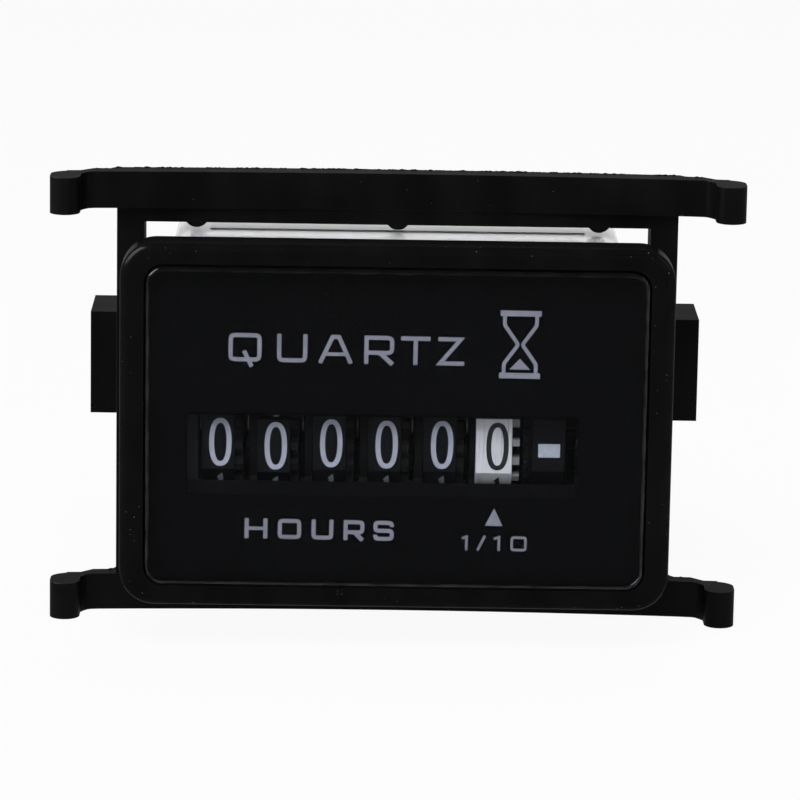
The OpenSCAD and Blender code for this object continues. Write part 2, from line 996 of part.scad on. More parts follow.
// One spring bar from above: an arc that bows back, with a rounded foot at each end
module bar_plan() {
    intersection() {
        translate([0, bar_mid_y - bar_arc_r])
            difference() {
                circle(bar_arc_r + bar_t, $fn = 400);
                circle(bar_arc_r, $fn = 400);
            }
        translate([-foot_x, bar_end_y - 1])
            square([2 * foot_x, bar_t + bar_bow + 2]);
    }
    both_x() {
        translate([foot_x, panel_gap + foot_t / 2]) {
            circle(foot_t / 2);
            translate([-foot_t / 2, 0])
                square([foot_t, heel_y]);
            translate([-foot_t / 2, heel_y])
                intersection() {
                    circle(foot_t);
                    square(foot_t);
                }
        }
        translate([fillet_x + fit, bar_front(fillet_x) - foot_fillet + fit])
            difference() {
                square(foot_fillet + bite);
                circle(foot_fillet);
            }
    }
}

module pawl() {
    tip = body_w / 2 + rack_h + clip_air;
    along_z(-rack_half, rack_half)
        polygon([
            [post_in + bite, leg_back - 5], [tip, leg_back - 2.6],
            [tip, leg_back - 2], [post_in + bite, leg_back - 2]
        ]);
}

module mounting_clip() {
    color("#1a1a1a")
        union() {
            both_z() {
                along_z(bar_low, bar_top)
                    bar_plan();
                block([-post_out, post_out], [collar_y0, collar_y1], [collar_z, bar_low + 1.4]);
                for (x = [-bump_x, 0, bump_x])
                    intersection() {
                        rod_y(x, collar_z + bump_r - bump_h, bump_r, collar_y0, collar_y1);
                        block([x - 2, x + 2], [collar_y0, collar_y1], [0, collar_z + bite]);
                    }
            }
            both_x() {
                block([post_in, post_out], [collar_y0, collar_y1], [-collar_z - bite, collar_z + bite]);
                block([post_in, post_out], [collar_y1 - bite, leg_back], [-lug_h / 2, lug_h / 2]);
                block([post_out - bite, post_out + lug_t], [lug_y, leg_back - 0.5], [-lug_h / 2, lug_h / 2]);
                pawl();
            }
        }
}

// Drawing

bezel();
lens();
face_mask();
housing();
terminal_positive();
terminal_negative();
counter_frame();
wheel_shaft();
wheel_ten_thousands();
wheel_thousands();
wheel_hundreds();
wheel_tens();
wheel_units();
wheel_tenths();
run_wheel();
pinion_shaft();
carry_pinion_1();
carry_pinion_2();
carry_pinion_3();
carry_pinion_4();
carry_pinion_5();
reduction_gear();
intermediate_gear();
motor_rotor();
motor_stator();
coil_core();
coil_bobbin();
coil_winding();
motor_screw_front();
motor_screw_rear();
circuit_board();
board_screw_left();
board_screw_right();
quartz_crystal();
timer_chip();
capacitor();
resistor();
diode();
mounting_clip();
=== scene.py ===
"""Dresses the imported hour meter: rounded mouldings, printed numerals, finishes, studio and camera.

Sizes are millimetres in the part's own frame: X to the right, Y to the back, Z up, the panel at Y = 0.
"""

import logging
import math
import random
from dataclasses import dataclass, replace
from enum import Enum
from typing import Callable, Sequence, Union

import bmesh
import bpy
from mathutils import Matrix, Vector


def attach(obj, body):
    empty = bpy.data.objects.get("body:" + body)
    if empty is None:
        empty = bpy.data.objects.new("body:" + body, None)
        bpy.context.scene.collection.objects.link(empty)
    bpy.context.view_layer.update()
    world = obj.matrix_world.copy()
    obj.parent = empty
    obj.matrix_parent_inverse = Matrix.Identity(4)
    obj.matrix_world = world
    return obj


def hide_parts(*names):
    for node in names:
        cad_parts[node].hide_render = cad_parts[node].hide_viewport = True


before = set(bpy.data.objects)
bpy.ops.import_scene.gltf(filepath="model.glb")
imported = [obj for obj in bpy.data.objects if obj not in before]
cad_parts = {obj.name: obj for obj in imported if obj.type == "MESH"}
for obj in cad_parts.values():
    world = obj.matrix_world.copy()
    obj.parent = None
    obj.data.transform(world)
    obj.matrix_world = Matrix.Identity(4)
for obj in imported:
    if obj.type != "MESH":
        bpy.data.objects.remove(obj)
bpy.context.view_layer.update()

LOG = logging.getLogger("hour_meter")
MM = 0.001
# The number wheels' axis, and the angle about it at which the carry pinions' axis lies.
AXIS_Y = 7.98953
AXIS_Z = -2.2
CARRY_ANGLE = 60.0
# Flats round a drum, the bore of a wheel, and the depth of a gap between teeth in modules.
FLATS = 10
BORE = 0.85
TOOTH_SINK = 1.1
# Edges of a wheel that turn by more than this many degrees stay sharp.
WHEEL_SHARP = 25.0
# Thickness of a layer of ink, and how much higher each next stroke of a sign lies.
INK = 0.02
OVERPRINT = 0.002

Point = tuple[float, float]
Colour = tuple[float, float, float]
Place = Callable[[float, float, float], Vector]


class Signal:
    """One output socket of a node tree; arithmetic on it adds Math nodes."""

    def __init__(self, painter: "Painter", socket: bpy.types.NodeSocket) -> None:
        """Keeps the painter of the tree and the socket."""
        self.painter = painter
        self.socket = socket

    def _math(self, operation: str, first: "Scalar", second: "Scalar") -> "Signal":
        """Adds one Math node on two values."""
        return self.painter.add("ShaderNodeMath", {"operation": operation}, {0: first, 1: second})

    def __add__(self, other: "Scalar") -> "Signal":
        """This value plus another."""
        return self._math("ADD", self, other)

    def __radd__(self, other: "Scalar") -> "Signal":
        """Another value plus this one."""
        return self._math("ADD", other, self)

    def __sub__(self, other: "Scalar") -> "Signal":
        """This value less another."""
        return self._math("SUBTRACT", self, other)

    def __rsub__(self, other: "Scalar") -> "Signal":
        """Another value less this one."""
        return self._math("SUBTRACT", other, self)

    def __mul__(self, other: "Scalar") -> "Signal":
        """This value times another."""
        return self._math("MULTIPLY", self, other)

    def __rmul__(self, other: "Scalar") -> "Signal":
        """Another value times this one."""
        return self._math("MULTIPLY", other, self)

    def __pow__(self, other: "Scalar") -> "Signal":
        """This value to a power."""
        return self._math("POWER", self, other)

    def __gt__(self, other: "Scalar") -> "Signal":
        """One where this value is the larger, otherwise zero."""
        return self._math("GREATER_THAN", self, other)

    def ramp(self, low: float, high: float) -> "Signal":
        """A smooth step from zero at low to one at high."""
        return self.painter.add(
            "ShaderNodeMapRange",
            {"interpolation_type": "SMOOTHSTEP"},
            {"Value": self, "From Min": low, "From Max": high},
        )


Scalar = Union[Signal, float]


class Painter:
    """Builds one node tree, for a material or for the world."""

    def __init__(self, tree: bpy.types.NodeTree) -> None:
        """Empties the tree and keeps it."""
        self.tree = tree
        self.tree.nodes.clear()

    @staticmethod
    def _find(sockets: bpy.types.bpy_prop_collection, key: Union[int, str]) -> bpy.types.NodeSocket:
        """The socket with that place, identifier or name.

        Args:
            sockets: sockets of a node.
            key: place, identifier or name of the one wanted.

        Returns:
            The socket.
        """
        if isinstance(key, int):
            return sockets[key]
        return next(s for s in sockets if key in (s.identifier, s.name))

    def add(
        self,
        kind: str,
        settings: dict | None = None,
        inputs: dict | None = None,
        out: Union[int, str] = 0,
    ) -> Signal:
        """Adds any node.

        Args:
            kind: Blender's name of the node type.
            settings: attributes of the node, set first; stops are a ramp's places and colours.
            inputs: values or signals for its sockets.
            out: the output wanted.

        Returns:
            The wanted output as a signal.
        """
        node = self.tree.nodes.new(kind)
        for key, value in (settings or {}).items():
            if key == "stops":
                elements = node.color_ramp.elements
                while len(elements) < len(value):
                    elements.new(0.5)
                for element, (at, colour) in zip(elements, value):
                    element.position = at
                    element.color = (*colour, 1.0)
            else:
                setattr(node, key, value)
        for key, value in (inputs or {}).items():
            socket = self._find(node.inputs, key)
            if isinstance(value, Signal):
                self.tree.links.new(value.socket, socket)
            elif socket.type == "RGBA" and len(value) == 3:
                socket.default_value = (*value, 1.0)
            else:
                socket.default_value = value
        return Signal(self, self._find(node.outputs, out) if node.outputs else None)

    def spot(self, stretch: Colour = (1.0, 1.0, 1.0)) -> Signal:
        """The place on the piece in its own frame, stretched along each axis.

        Args:
            stretch: factor along each axis.

        Returns:
            The place as a vector.
        """
        place = self.add("ShaderNodeTexCoord", out="Object")
        if stretch == (1.0, 1.0, 1.0):
            return place
        return self.add("ShaderNodeVectorMath", {"operation": "MULTIPLY"}, {0: place, 1: stretch})

    def noise(self, per_mm: float, detail: float = 2.0, stretch: Colour = (1.0, 1.0, 1.0)) -> Signal:
        """Soft noise with that many cells in a millimetre."""
        return self.add(
            "ShaderNodeTexNoise",
            inputs={"Vector": self.spot(stretch), "Scale": per_mm / MM, "Detail": detail},
        )

    def specks(self, per_mm: float, share: float, radius: float) -> Signal:
        """Sparse round specks, one where a speck lies and zero elsewhere.

        Args:
            per_mm: cells in a millimetre, of which each may hold one speck.
            share: share of the cells that hold one.
            radius: radius of the largest speck in cells.

        Returns:
            The mask of the specks.
        """
        inputs = {"Vector": self.spot(), "Scale": per_mm / MM}
        reach = self.add("ShaderNodeTexVoronoi", inputs=inputs, out="Distance")
        tint = self.add("ShaderNodeTexVoronoi", inputs=inputs, out="Color")
        lot = self.add("ShaderNodeSeparateColor", inputs={0: tint}, out=0)
        size = self.add("ShaderNodeSeparateColor", inputs={0: tint}, out=1)
        return (lot > 1.0 - share) * ((size * 0.7 + 0.3) * radius > reach)

    def edge(self) -> Signal:
        """One along the rounded edges of a moulding and zero on its flats."""
        return self.add("ShaderNodeAttribute", {"attribute_name": "edge"}, out="Fac")

    def facing(self) -> Signal:
        """Zero where the surface faces the viewer and one where it is seen edge on."""
        return self.add("ShaderNodeLayerWeight", inputs={"Blend": 0.5}, out="Facing")

    def blend(self, share: Scalar, first: Union[Signal, Colour], second: Union[Signal, Colour]) -> Signal:
        """A colour between two, at the given share of the second."""
        return self.add(
            "ShaderNodeMix",
            {"data_type": "RGBA"},
            {"Factor_Float": share, "A_Color": first, "B_Color": second},
            "Result_Color",
        )

    def bump(self, height: Signal, depth: float) -> Signal:
        """A surface normal for a relief of that depth in millimetres."""
        return self.add("ShaderNodeBump", inputs={"Height": height, "Distance": depth * MM})

    def principled(self, **inputs: object) -> Signal:
        """The main shader; names of sockets are written with underscores."""
        named = {key.replace("_", " "): value for key, value in inputs.items()}
        return self.add("ShaderNodeBsdfPrincipled", {"subsurface_method": "BURLEY"}, named)

    def show(self, shader: Signal, kind: str = "ShaderNodeOutputMaterial") -> None:
        """Links a shader to the tree's output."""
        self.add(kind, inputs={"Surface": shader})


def new_material(name: str) -> tuple[bpy.types.Material, Painter]:
    """An empty node material and its painter.

    Args:
        name: name of the material.

    Returns:
        The material and the painter of its nodes.
    """
    material = bpy.data.materials.new(name)
    material.use_nodes = True
    return material, Painter(material.node_tree)


def shade(colour: Colour, factor: float) -> Colour:
    """A colour made lighter or darker."""
    return tuple(min(1.0, c * factor) for c in colour)


class Surface:
    """A finish that can be laid on a piece."""

    def shader(self, paint: Painter) -> Signal:
        """The shader of the finish; each finish has its own."""
        raise NotImplementedError

    def material(self, name: str) -> bpy.types.Material:
        """Makes the node material.

        Args:
            name: its name.

        Returns:
            The material.
        """
        made, paint = new_material(name)
        paint.show(self.shader(paint))
        return made


@dataclass(frozen=True)
class Moulded(Surface):
    """Moulded plastic: fine eroded grain, faint flow marks, dust, and a skin that shines more on edges."""

    colour: Colour
    roughness: float = 0.45
    specular: float = 0.5
    grain: float = 9.0
    depth: float = 0.006
    flow: float = 0.2
    dust: float = 0.0
    skin: float = 0.0
    edge_skin: float = 0.0
    skin_roughness: float = 0.3
    graze: float = 0.0
    milky: float = 0.0
    deep: float = 5.0

    def _skin(self, paint: Painter, flow: Signal) -> Scalar:
        """How strongly the outer skin shines: more on rubbed edges and where it is seen edge on.

        Args:
            paint: the painter of the material.
            flow: the flow marks, which the shine follows.

        Returns:
            The weight of the skin.
        """
        if not (self.skin or self.edge_skin or self.graze):
            return 0.0
        made = self.skin * (0.6 + flow * 0.8)
        if self.graze:
            made = made + paint.facing() ** 3.0 * self.graze
        if self.edge_skin:
            scuff = paint.noise(0.9, 5.0).ramp(0.3, 0.6)
            made = made + paint.edge() * (self.edge_skin * (0.35 + scuff * 0.65))
        return made

    def shader(self, paint: Painter) -> Signal:
        """Lays out the finish.

        Args:
            paint: the painter of its material.

        Returns:
            The shader.
        """
        flow = paint.noise(0.25, 4.0, (1.0, 1.0, 0.4))
        grain = paint.noise(self.grain, 3.0)
        colour = paint.blend(
            flow.ramp(0.3, 0.7), shade(self.colour, 1.0 - self.flow), shade(self.colour, 1.0 + self.flow)
        )
        rough = self.roughness + (grain - 0.5) * 0.12 + (flow - 0.5) * 0.1
        if self.dust > 0.0:
            fleck = paint.specks(2.4, self.dust, 0.14) * (0.2 + paint.noise(0.7, 1.0).ramp(0.35, 0.7) * 0.6)
            colour = paint.blend(fleck, colour, (0.28, 0.28, 0.29))
            rough = rough + fleck * 0.3
        return paint.principled(
            Base_Color=colour,
            Roughness=rough,
            Specular_IOR_Level=self.specular,
            Subsurface_Weight=self.milky,
            Subsurface_Radius=(1.0, 1.0, 1.0),
            Subsurface_Scale=self.deep * MM,
            Coat_Weight=self._skin(paint, flow),
            Coat_Roughness=self.skin_roughness,
            Normal=paint.bump(grain, self.depth),
        )


@dataclass(frozen=True)
class Printed(Surface):
    """Screen-printed ink: slightly uneven in cover, dull, with pinholes."""

    colour: Colour
    under: Colour = (0.02, 0.02, 0.022)
    roughness: float = 0.6

    def shader(self, paint: Painter) -> Signal:
        """Lays out the finish.

        Args:
            paint: the painter of its material.

        Returns:
            The shader.
        """
        cover = paint.noise(2.2, 5.0).ramp(0.25, 0.55)
        pinhole = paint.specks(4.0, 0.12, 0.16)
        colour = paint.blend(cover * 0.16 + pinhole * 0.4, self.colour, self.under)
        colour = paint.blend(1.0 - paint.noise(0.4, 2.0).ramp(0.2, 0.8) * 0.12, self.under, colour)
        grain = paint.noise(12.0, 2.0)
        return paint.principled(
            Base_Color=colour,
            Roughness=self.roughness + (grain - 0.5) * 0.2,
            Specular_IOR_Level=0.25,
            Normal=paint.bump(grain, 0.003),
        )


@dataclass(frozen=True)
class DrumSkin(Surface):
    """Skin of a drum with fine streaks that run round it; inside its rim the drum gets a dull dark colour,
    which on a white drum is painted shade over its web, hub and tooth gaps.
    """

    colour: Colour
    streak: Colour
    share: float = 0.4
    roughness: float = 0.4
    shine: float = 0.1
    rim: float = 8.0
    # Width of the fade into the dark colour inside the rim, and that colour: painted shade on a white drum.
    shade_fade: float = 0.1
    painted_shade_inside: Colour = (0.02, 0.02, 0.021)

    def shader(self, paint: Painter) -> Signal:
        """Lays out the finish.

        Args:
            paint: the painter of its material.

        Returns:
            The shader.
        """
        lines = paint.noise(5.0, 4.0, (1.0, 0.05, 0.05))
        cloud = paint.noise(0.5, 3.0)
        streak = lines.ramp(0.45, 0.75) * cloud.ramp(0.3, 0.7)
        reach = paint.add(
            "ShaderNodeVectorMath",
            {"operation": "DISTANCE"},
            {0: paint.spot((0.0, 1.0, 1.0)), 1: (0.0, AXIS_Y * MM, AXIS_Z * MM)},
            "Value",
        ) * (1.0 / MM)
        # Painted shade: below the rim radius the colour fades to the dark inside colour, so a white drum's
        # tooth gaps, web and hub look shaded.
        outer = reach.ramp(self.rim - self.shade_fade, self.rim + self.shade_fade)
        skin = paint.blend(streak * self.share, self.colour, self.streak)
        return paint.principled(
            Base_Color=paint.blend(outer, self.painted_shade_inside, skin),
            Roughness=self.roughness + (lines - 0.5) * 0.25,
            Specular_IOR_Level=0.0,
            Coat_Weight=outer * self.shine,
            Coat_Roughness=0.2,
            Normal=paint.bump(lines, 0.004),
        )


@dataclass(frozen=True)
class ClearPlate(Surface):
    """Clear acrylic with a faint veil; its rounded edges look solid and glossy, and dust lies on it."""

    veil: float = 0.045
    rim: float = 0.65

    def shader(self, paint: Painter) -> Signal:
        """Lays out the finish.

        Args:
            paint: the painter of its material.

        Returns:
            The shader.
        """
        dust = paint.specks(2.2, 0.045, 0.12) * (0.2 + paint.noise(0.6, 1.0).ramp(0.3, 0.7) * 0.8)
        smear = paint.noise(0.3, 4.0).ramp(0.35, 0.75)
        body = paint.principled(
            Base_Color=paint.blend(dust, (0.002, 0.002, 0.0022), (0.4, 0.4, 0.41)),
            Roughness=0.05 + smear * 0.05 + dust * 0.5,
            Specular_IOR_Level=0.5,
        )
        clear = paint.add("ShaderNodeBsdfTransparent", inputs={0: (0.97, 0.98, 1.0)})
        grime = paint.noise(0.45, 4.0).ramp(0.38, 0.62) * 0.65 + 0.35
        share = self.veil + paint.edge() * grime * (self.rim - self.veil) + dust * 0.4
        return paint.add("ShaderNodeMixShader", inputs={0: share, 1: clear, 2: body})


@dataclass(frozen=True)
class Metal(Surface):
    """Bare metal with drawn lines along one axis, and tarnish in patches."""

    colour: Colour
    tarnish: Colour
    roughness: float = 0.3
    lines: Colour = (0.05, 1.0, 1.0)
    patch: float = 0.35

    def shader(self, paint: Painter) -> Signal:
        """Lays out the finish.

        Args:
            paint: the painter of its material.

        Returns:
            The shader.
        """
        drawn = paint.noise(9.0, 3.0, self.lines)
        age = paint.noise(0.7, 5.0).ramp(0.4, 0.8) * self.patch
        return paint.principled(
            Base_Color=paint.blend(age, self.colour, self.tarnish),
            Metallic=1.0,
            Roughness=self.roughness + (drawn - 0.5) * 0.2 + age * 0.3,
            Normal=paint.bump(drawn, 0.004),
        )


@dataclass(frozen=True)
class Sheets(Surface):
    """Stacked laminations or wound wire: fine parallel lines across one axis."""

    colour: Colour
    gap: Colour
    per_mm: float
    axis: Colour
    metallic: float = 1.0
    roughness: float = 0.35

    def shader(self, paint: Painter) -> Signal:
        """Lays out the finish.

        Args:
            paint: the painter of its material.

        Returns:
            The shader.
        """
        along = paint.add(
            "ShaderNodeVectorMath", {"operation": "DOT_PRODUCT"}, {0: paint.spot(), 1: self.axis}, "Value"
        )
        turn = along * (self.per_mm / MM) + paint.noise(0.8, 2.0) * 0.6
        wave = paint.add("ShaderNodeMath", {"operation": "PINGPONG"}, {0: turn, 1: 0.5}) * 2.0
        colour = paint.blend(wave.ramp(0.05, 0.5), self.gap, self.colour)
        return paint.principled(
            Base_Color=colour,
            Metallic=self.metallic,
            Roughness=self.roughness + paint.noise(3.0, 3.0) * 0.15,
            Normal=paint.bump(wave, 0.03),
        )


@dataclass(frozen=True)
class Banded(Surface):
    """A small leaded component with coloured bands along one axis."""

    body: Colour
    bands: tuple[tuple[float, float, Colour], ...]
    axis: Colour = (1.0, 0.0, 0.0)
    roughness: float = 0.4

    def shader(self, paint: Painter) -> Signal:
        """Lays out the finish.

        Args:
            paint: the painter of its material.

        Returns:
            The shader.
        """
        along = paint.add(
            "ShaderNodeVectorMath", {"operation": "DOT_PRODUCT"}, {0: paint.spot(), 1: self.axis}, "Value"
        ) * (1.0 / MM)
        mottle = paint.noise(1.5, 4.0)
        colour = paint.blend(mottle.ramp(0.3, 0.8), shade(self.body, 0.8), shade(self.body, 1.15))
        for start, end, ink in self.bands:
            colour = paint.blend((along > start) * (1.0 - (along > end)), colour, ink)
        return paint.principled(
            Base_Color=colour,
            Roughness=self.roughness + (mottle - 0.5) * 0.2,
            Normal=paint.bump(paint.noise(8.0, 2.0), 0.004),
        )


@dataclass(frozen=True)
class Board(Surface):
    """Green solder resist over copper tracks, with tinned pads."""

    resist: Colour = (0.012, 0.09, 0.035)
    track: Colour = (0.03, 0.17, 0.06)

    def shader(self, paint: Painter) -> Signal:
        """Lays out the finish.

        Args:
            paint: the painter of its material.

        Returns:
            The shader.
        """
        cells = paint.add(
            "ShaderNodeTexVoronoi",
            {"distance": "CHEBYCHEV"},
            {"Vector": paint.spot((1.0, 0.0, 1.0)), "Scale": 0.3 / MM},
            "Distance",
        )
        track = cells.ramp(0.40, 0.44) * (1.0 - cells.ramp(0.52, 0.56))
        pads = 1.0 - cells.ramp(0.1, 0.13)
        grain = paint.noise(4.0, 3.0)
        colour = paint.blend(track, self.resist, self.track)
        colour = paint.blend(pads, colour, (0.62, 0.63, 0.62))
        return paint.principled(
            Base_Color=colour,
            Metallic=pads * 0.9,
            Roughness=0.32 + (grain - 0.5) * 0.2,
            Normal=paint.bump(track + pads + grain * 0.1, 0.02),
        )


class Finish(Enum):
    """The finishes of the hour meter's pieces."""

    BEZEL = Moulded(
        (0.0031, 0.0031, 0.0033), 0.5, 0.0, 8.0, 0.005, 0.2, 0.16,
        skin=0.04, edge_skin=0.04, skin_roughness=0.2, graze=0.12,
    )
    CLIP = Moulded(
        (0.0022, 0.0022, 0.0024), 0.6, 0.0, 6.0, 0.01, 0.3, 0.04,
        skin=0.09, edge_skin=0.3, skin_roughness=0.4, graze=0.17,
    )
    MASK = Moulded((0.0024, 0.0024, 0.0026), 0.4, 0.0, 10.0, 0.002, 0.15)
    HOUSING = Moulded((0.66, 0.665, 0.685), 0.1, 0.8, 7.0, 0.002, 0.04, 0.02, milky=0.9, deep=5.0)
    # A darker copy of the housing's plastic, without its milkiness: painted shade for the housing's inner
    # faces.
    CAVITY = Moulded((0.3, 0.3, 0.31), 0.5, 0.3, 7.0, 0.004, 0.06)
    FRAME = Moulded((0.01, 0.01, 0.0105), 0.6, 0.1, 6.0, 0.01, 0.2)
    IVORY = Moulded((0.4, 0.375, 0.3), 0.5, 0.3, 8.0, 0.004, 0.08)
    BOBBIN = Moulded((0.78, 0.75, 0.66), 0.45, 0.5, 8.0, 0.004, 0.06)
    CHIP = Moulded((0.012, 0.012, 0.013), 0.55, 0.4, 14.0, 0.01, 0.15)
    MAGNET = Moulded((0.07, 0.07, 0.075), 0.6, 0.5, 6.0, 0.02, 0.3)
    LENS = ClearPlate()
    LEGEND = Printed((0.31, 0.31, 0.36))
    NUMERAL = Printed((0.52, 0.535, 0.62))
    DARK_NUMERAL = Printed((0.006, 0.006, 0.008), (0.04, 0.04, 0.042))
    RUN_MARK = Printed((0.62, 0.66, 0.74))
    BLACK_DRUM = DrumSkin((0.0048, 0.005, 0.006), (0.008, 0.0085, 0.0105), 0.4, 0.3, 0.08)
    RUN_DRUM = DrumSkin((0.0048, 0.005, 0.006), (0.008, 0.0085, 0.0105), 0.4, 0.3, 0.08, 7.6)
    # The white drum's teeth fade over a wide band into painted shade towards their roots.
    WHITE_DRUM = DrumSkin((0.72, 0.715, 0.73), (0.3, 0.29, 0.3), 0.7, 0.4, 0.1, 7.6, 0.6)
    STEEL = Metal((0.58, 0.59, 0.6), (0.3, 0.29, 0.28), 0.25)
    BLADE = Metal((0.78, 0.67, 0.42), (0.42, 0.3, 0.14), 0.28, (1.0, 0.08, 1.0))
    CAN = Metal((0.66, 0.67, 0.69), (0.42, 0.42, 0.43), 0.22)
    LAMINATION = Sheets((0.42, 0.43, 0.45), (0.08, 0.08, 0.085), 3.0, (1.0, 0.0, 0.0))
    WINDING = Sheets((0.62, 0.24, 0.09), (0.14, 0.05, 0.02), 7.0, (0.0, 1.0, 0.0), 0.85)
    BOARD = Board()
    CAPACITOR = Banded((0.012, 0.02, 0.05), ((-13.2, -12.4, (0.6, 0.62, 0.66)),), (1.0, 0.0, 0.0), 0.3)
    RESISTOR = Banded(
        (0.5, 0.38, 0.22),
        (
            (-5.3, -4.9, (0.35, 0.02, 0.02)),
            (-4.3, -3.9, (0.3, 0.02, 0.35)),
            (-3.3, -2.9, (0.5, 0.16, 0.02)),
            (-2.0, -1.6, (0.6, 0.42, 0.12)),
        ),
    )
    DIODE = Banded((0.016, 0.016, 0.017), ((7.2, 7.8, (0.6, 0.6, 0.6)),))

    def paint(self) -> bpy.types.Material:
        """The material of this finish, made once."""
        name = self.name.lower()
        return bpy.data.materials.get(name) or self.value.material(name)


def wrap(
    bm: bmesh.types.BMesh,
    rows: Sequence[Sequence[Vector]],
    closed: bool = True,
    edges: Sequence[float] | None = None,
) -> None:
    """Skins equal closed loops one after another.

    Args:
        bm: the mesh that gets the faces.
        rows: loops with the same number of points.
        closed: whether the last loop joins the first; otherwise both ends get a cap.
        edges: for each loop, how far it lies on a rounded edge.
    """
    layer = bm.verts.layers.float.get("edge") or bm.verts.layers.float.new("edge")
    made = [[bm.verts.new(p) for p in row] for row in rows]
    for i, row in enumerate(made):
        for vert in row:
            vert[layer] = edges[i] if edges else 0.0
    count = len(made[0])
    last = len(made) if closed else len(made) - 1
    for i in range(last):
        a, b = made[i], made[(i + 1) % len(made)]
        for j in range(count):
            k = (j + 1) % count
            bm.faces.new((a[j], a[k], b[k], b[j]))
    if not closed:
        bm.faces.new(list(reversed(made[0])))
        bm.faces.new(made[-1])


@dataclass(frozen=True)
class Outline:
    """One rounded rectangle across a moulding, at a depth."""

    y: float
    x0: float
    x1: float
    z0: float
    z1: float
    r: float
    edge: float = 0.0

    def inset(self, by: float, y: float, edge: float = 0.0) -> "Outline":
        """The same outline drawn in by a distance, at another depth."""
        return Outline(
            y, self.x0 + by, self.x1 - by, self.z0 + by, self.z1 - by, max(self.r - by, 0.05), edge
        )

    def points(self, steps: int = 14) -> list[Vector]:
        """Its points, from the upper right corner round.

        Args:
            steps: points on a corner, less one.

        Returns:
            The points.
        """
        made = []
        corners = (
            (self.x1 - self.r, self.z1 - self.r, 0.0),
            (self.x0 + self.r, self.z1 - self.r, 90.0),
            (self.x0 + self.r, self.z0 + self.r, 180.0),
            (self.x1 - self.r, self.z0 + self.r, 270.0),
        )
        for cx, cz, start in corners:
            for i in range(steps + 1):
                a = math.radians(start + 90.0 * i / steps)
                made.append(Vector((cx + self.r * math.cos(a), self.y, cz + self.r * math.sin(a))))
        return made


def centred(y: float, w: float, h: float, r: float, x: float = 0.0, z: float = 0.0) -> Outline:
    """A rounded rectangle about a centre."""
    return Outline(y, x - w / 2, x + w / 2, z - h / 2, z + h / 2, r)


def front_edge(base: Outline, y: float, radius: float, steps: int = 6) -> list[Outline]:
    """Outlines of a rounded front edge, from the side of a plate to its front face.

    Args:
        base: outline of the plate's side.
        y: depth of the front face.
        radius: radius of the edge.
        steps: outlines on the edge, less one.

    Returns:
        The outlines.
    """
    made = []
    for i in range(steps + 1):
        a = math.radians(90.0 * i / steps)
        lift = math.sin(2.0 * a) ** 0.5 if 0 < i < steps else 0.0
        made.append(base.inset(radius * (1.0 - math.cos(a)), y + radius * (1.0 - math.sin(a)), lift))
    return made


def loft(bm: bmesh.types.BMesh, outlines: Sequence[Outline], closed: bool) -> None:
    """Skins a row of outlines, as a ring or with its two ends capped."""
    wrap(bm, [o.points() for o in outlines], closed, [o.edge for o in outlines])


def piece(
    bm: bmesh.types.BMesh,
    name: str,
    body: str,
    finish: Finish,
    nodes: Sequence[str] = (),
    sharp: float = 38.0,
) -> bpy.types.Object:
    """Turns a mesh in millimetres into a piece of the hour meter.

    Args:
        bm: the mesh, which is used up.
        name: name of the piece.
        body: body that it moves with.
        finish: its finish.
        nodes: solids that it stands for.
        sharp: angle in degrees above which an edge stays sharp.

    Returns:
        The new object.
    """
    bmesh.ops.recalc_face_normals(bm, faces=bm.faces)
    bmesh.ops.scale(bm, vec=(MM, MM, MM), verts=bm.verts)
    mesh = bpy.data.meshes.new(name)
    bm.to_mesh(mesh)
    bm.free()
    mesh.shade_smooth()
    mesh.set_sharp_from_angle(angle=math.radians(sharp))
    mesh.materials.append(finish.paint())
    made = bpy.data.objects.new(name, mesh)
    bpy.context.scene.collection.objects.link(made)
    weight = made.modifiers.new("flat_faces", "WEIGHTED_NORMAL")
    weight.keep_sharp = True
    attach(made, body)
    if nodes:
        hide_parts(*nodes)
    LOG.info("%s: %d faces on %s", name, len(mesh.polygons), body)
    return made


def softened(
    node: str,
    width: float,
    segments: int = 3,
    angle: float = 35.0,
    shape: Callable[[bmesh.types.BMesh], None] | None = None,
) -> bmesh.types.BMesh:
    """A copy of a solid, in millimetres, with its edges rounded.

    Args:
        node: name of the solid.
        width: width of the rounding.
        segments: faces across the rounding.
        angle: edges that turn by more than this many degrees are rounded.
        shape: refines the form before its edges are rounded.

    Returns:
        The new mesh.
    """
    bm = bmesh.new()
    bm.from_mesh(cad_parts[node].data)
    bmesh.ops.scale(bm, vec=(1 / MM, 1 / MM, 1 / MM), verts=bm.verts)
    bmesh.ops.remove_doubles(bm, verts=bm.verts, dist=0.002)
    bmesh.ops.dissolve_limit(bm, angle_limit=math.radians(0.5), verts=bm.verts, edges=bm.edges)
    if shape:
        shape(bm)
    turns = [e for e in bm.edges if len(e.link_faces) == 2 and e.calc_face_angle(0.0) > math.radians(angle)]
    rounded = bmesh.ops.bevel(
        bm, geom=turns, offset=width, offset_type="OFFSET", segments=segments, profile=0.5,
        affect="EDGES", clamp_overlap=True,
    )
    layer = bm.verts.layers.float.new("edge")
    curved = set(rounded["faces"])
    for vert in bm.verts:
        if vert.link_faces and all(f in curved for f in vert.link_faces):
            vert[layer] = 1.0
    return bm


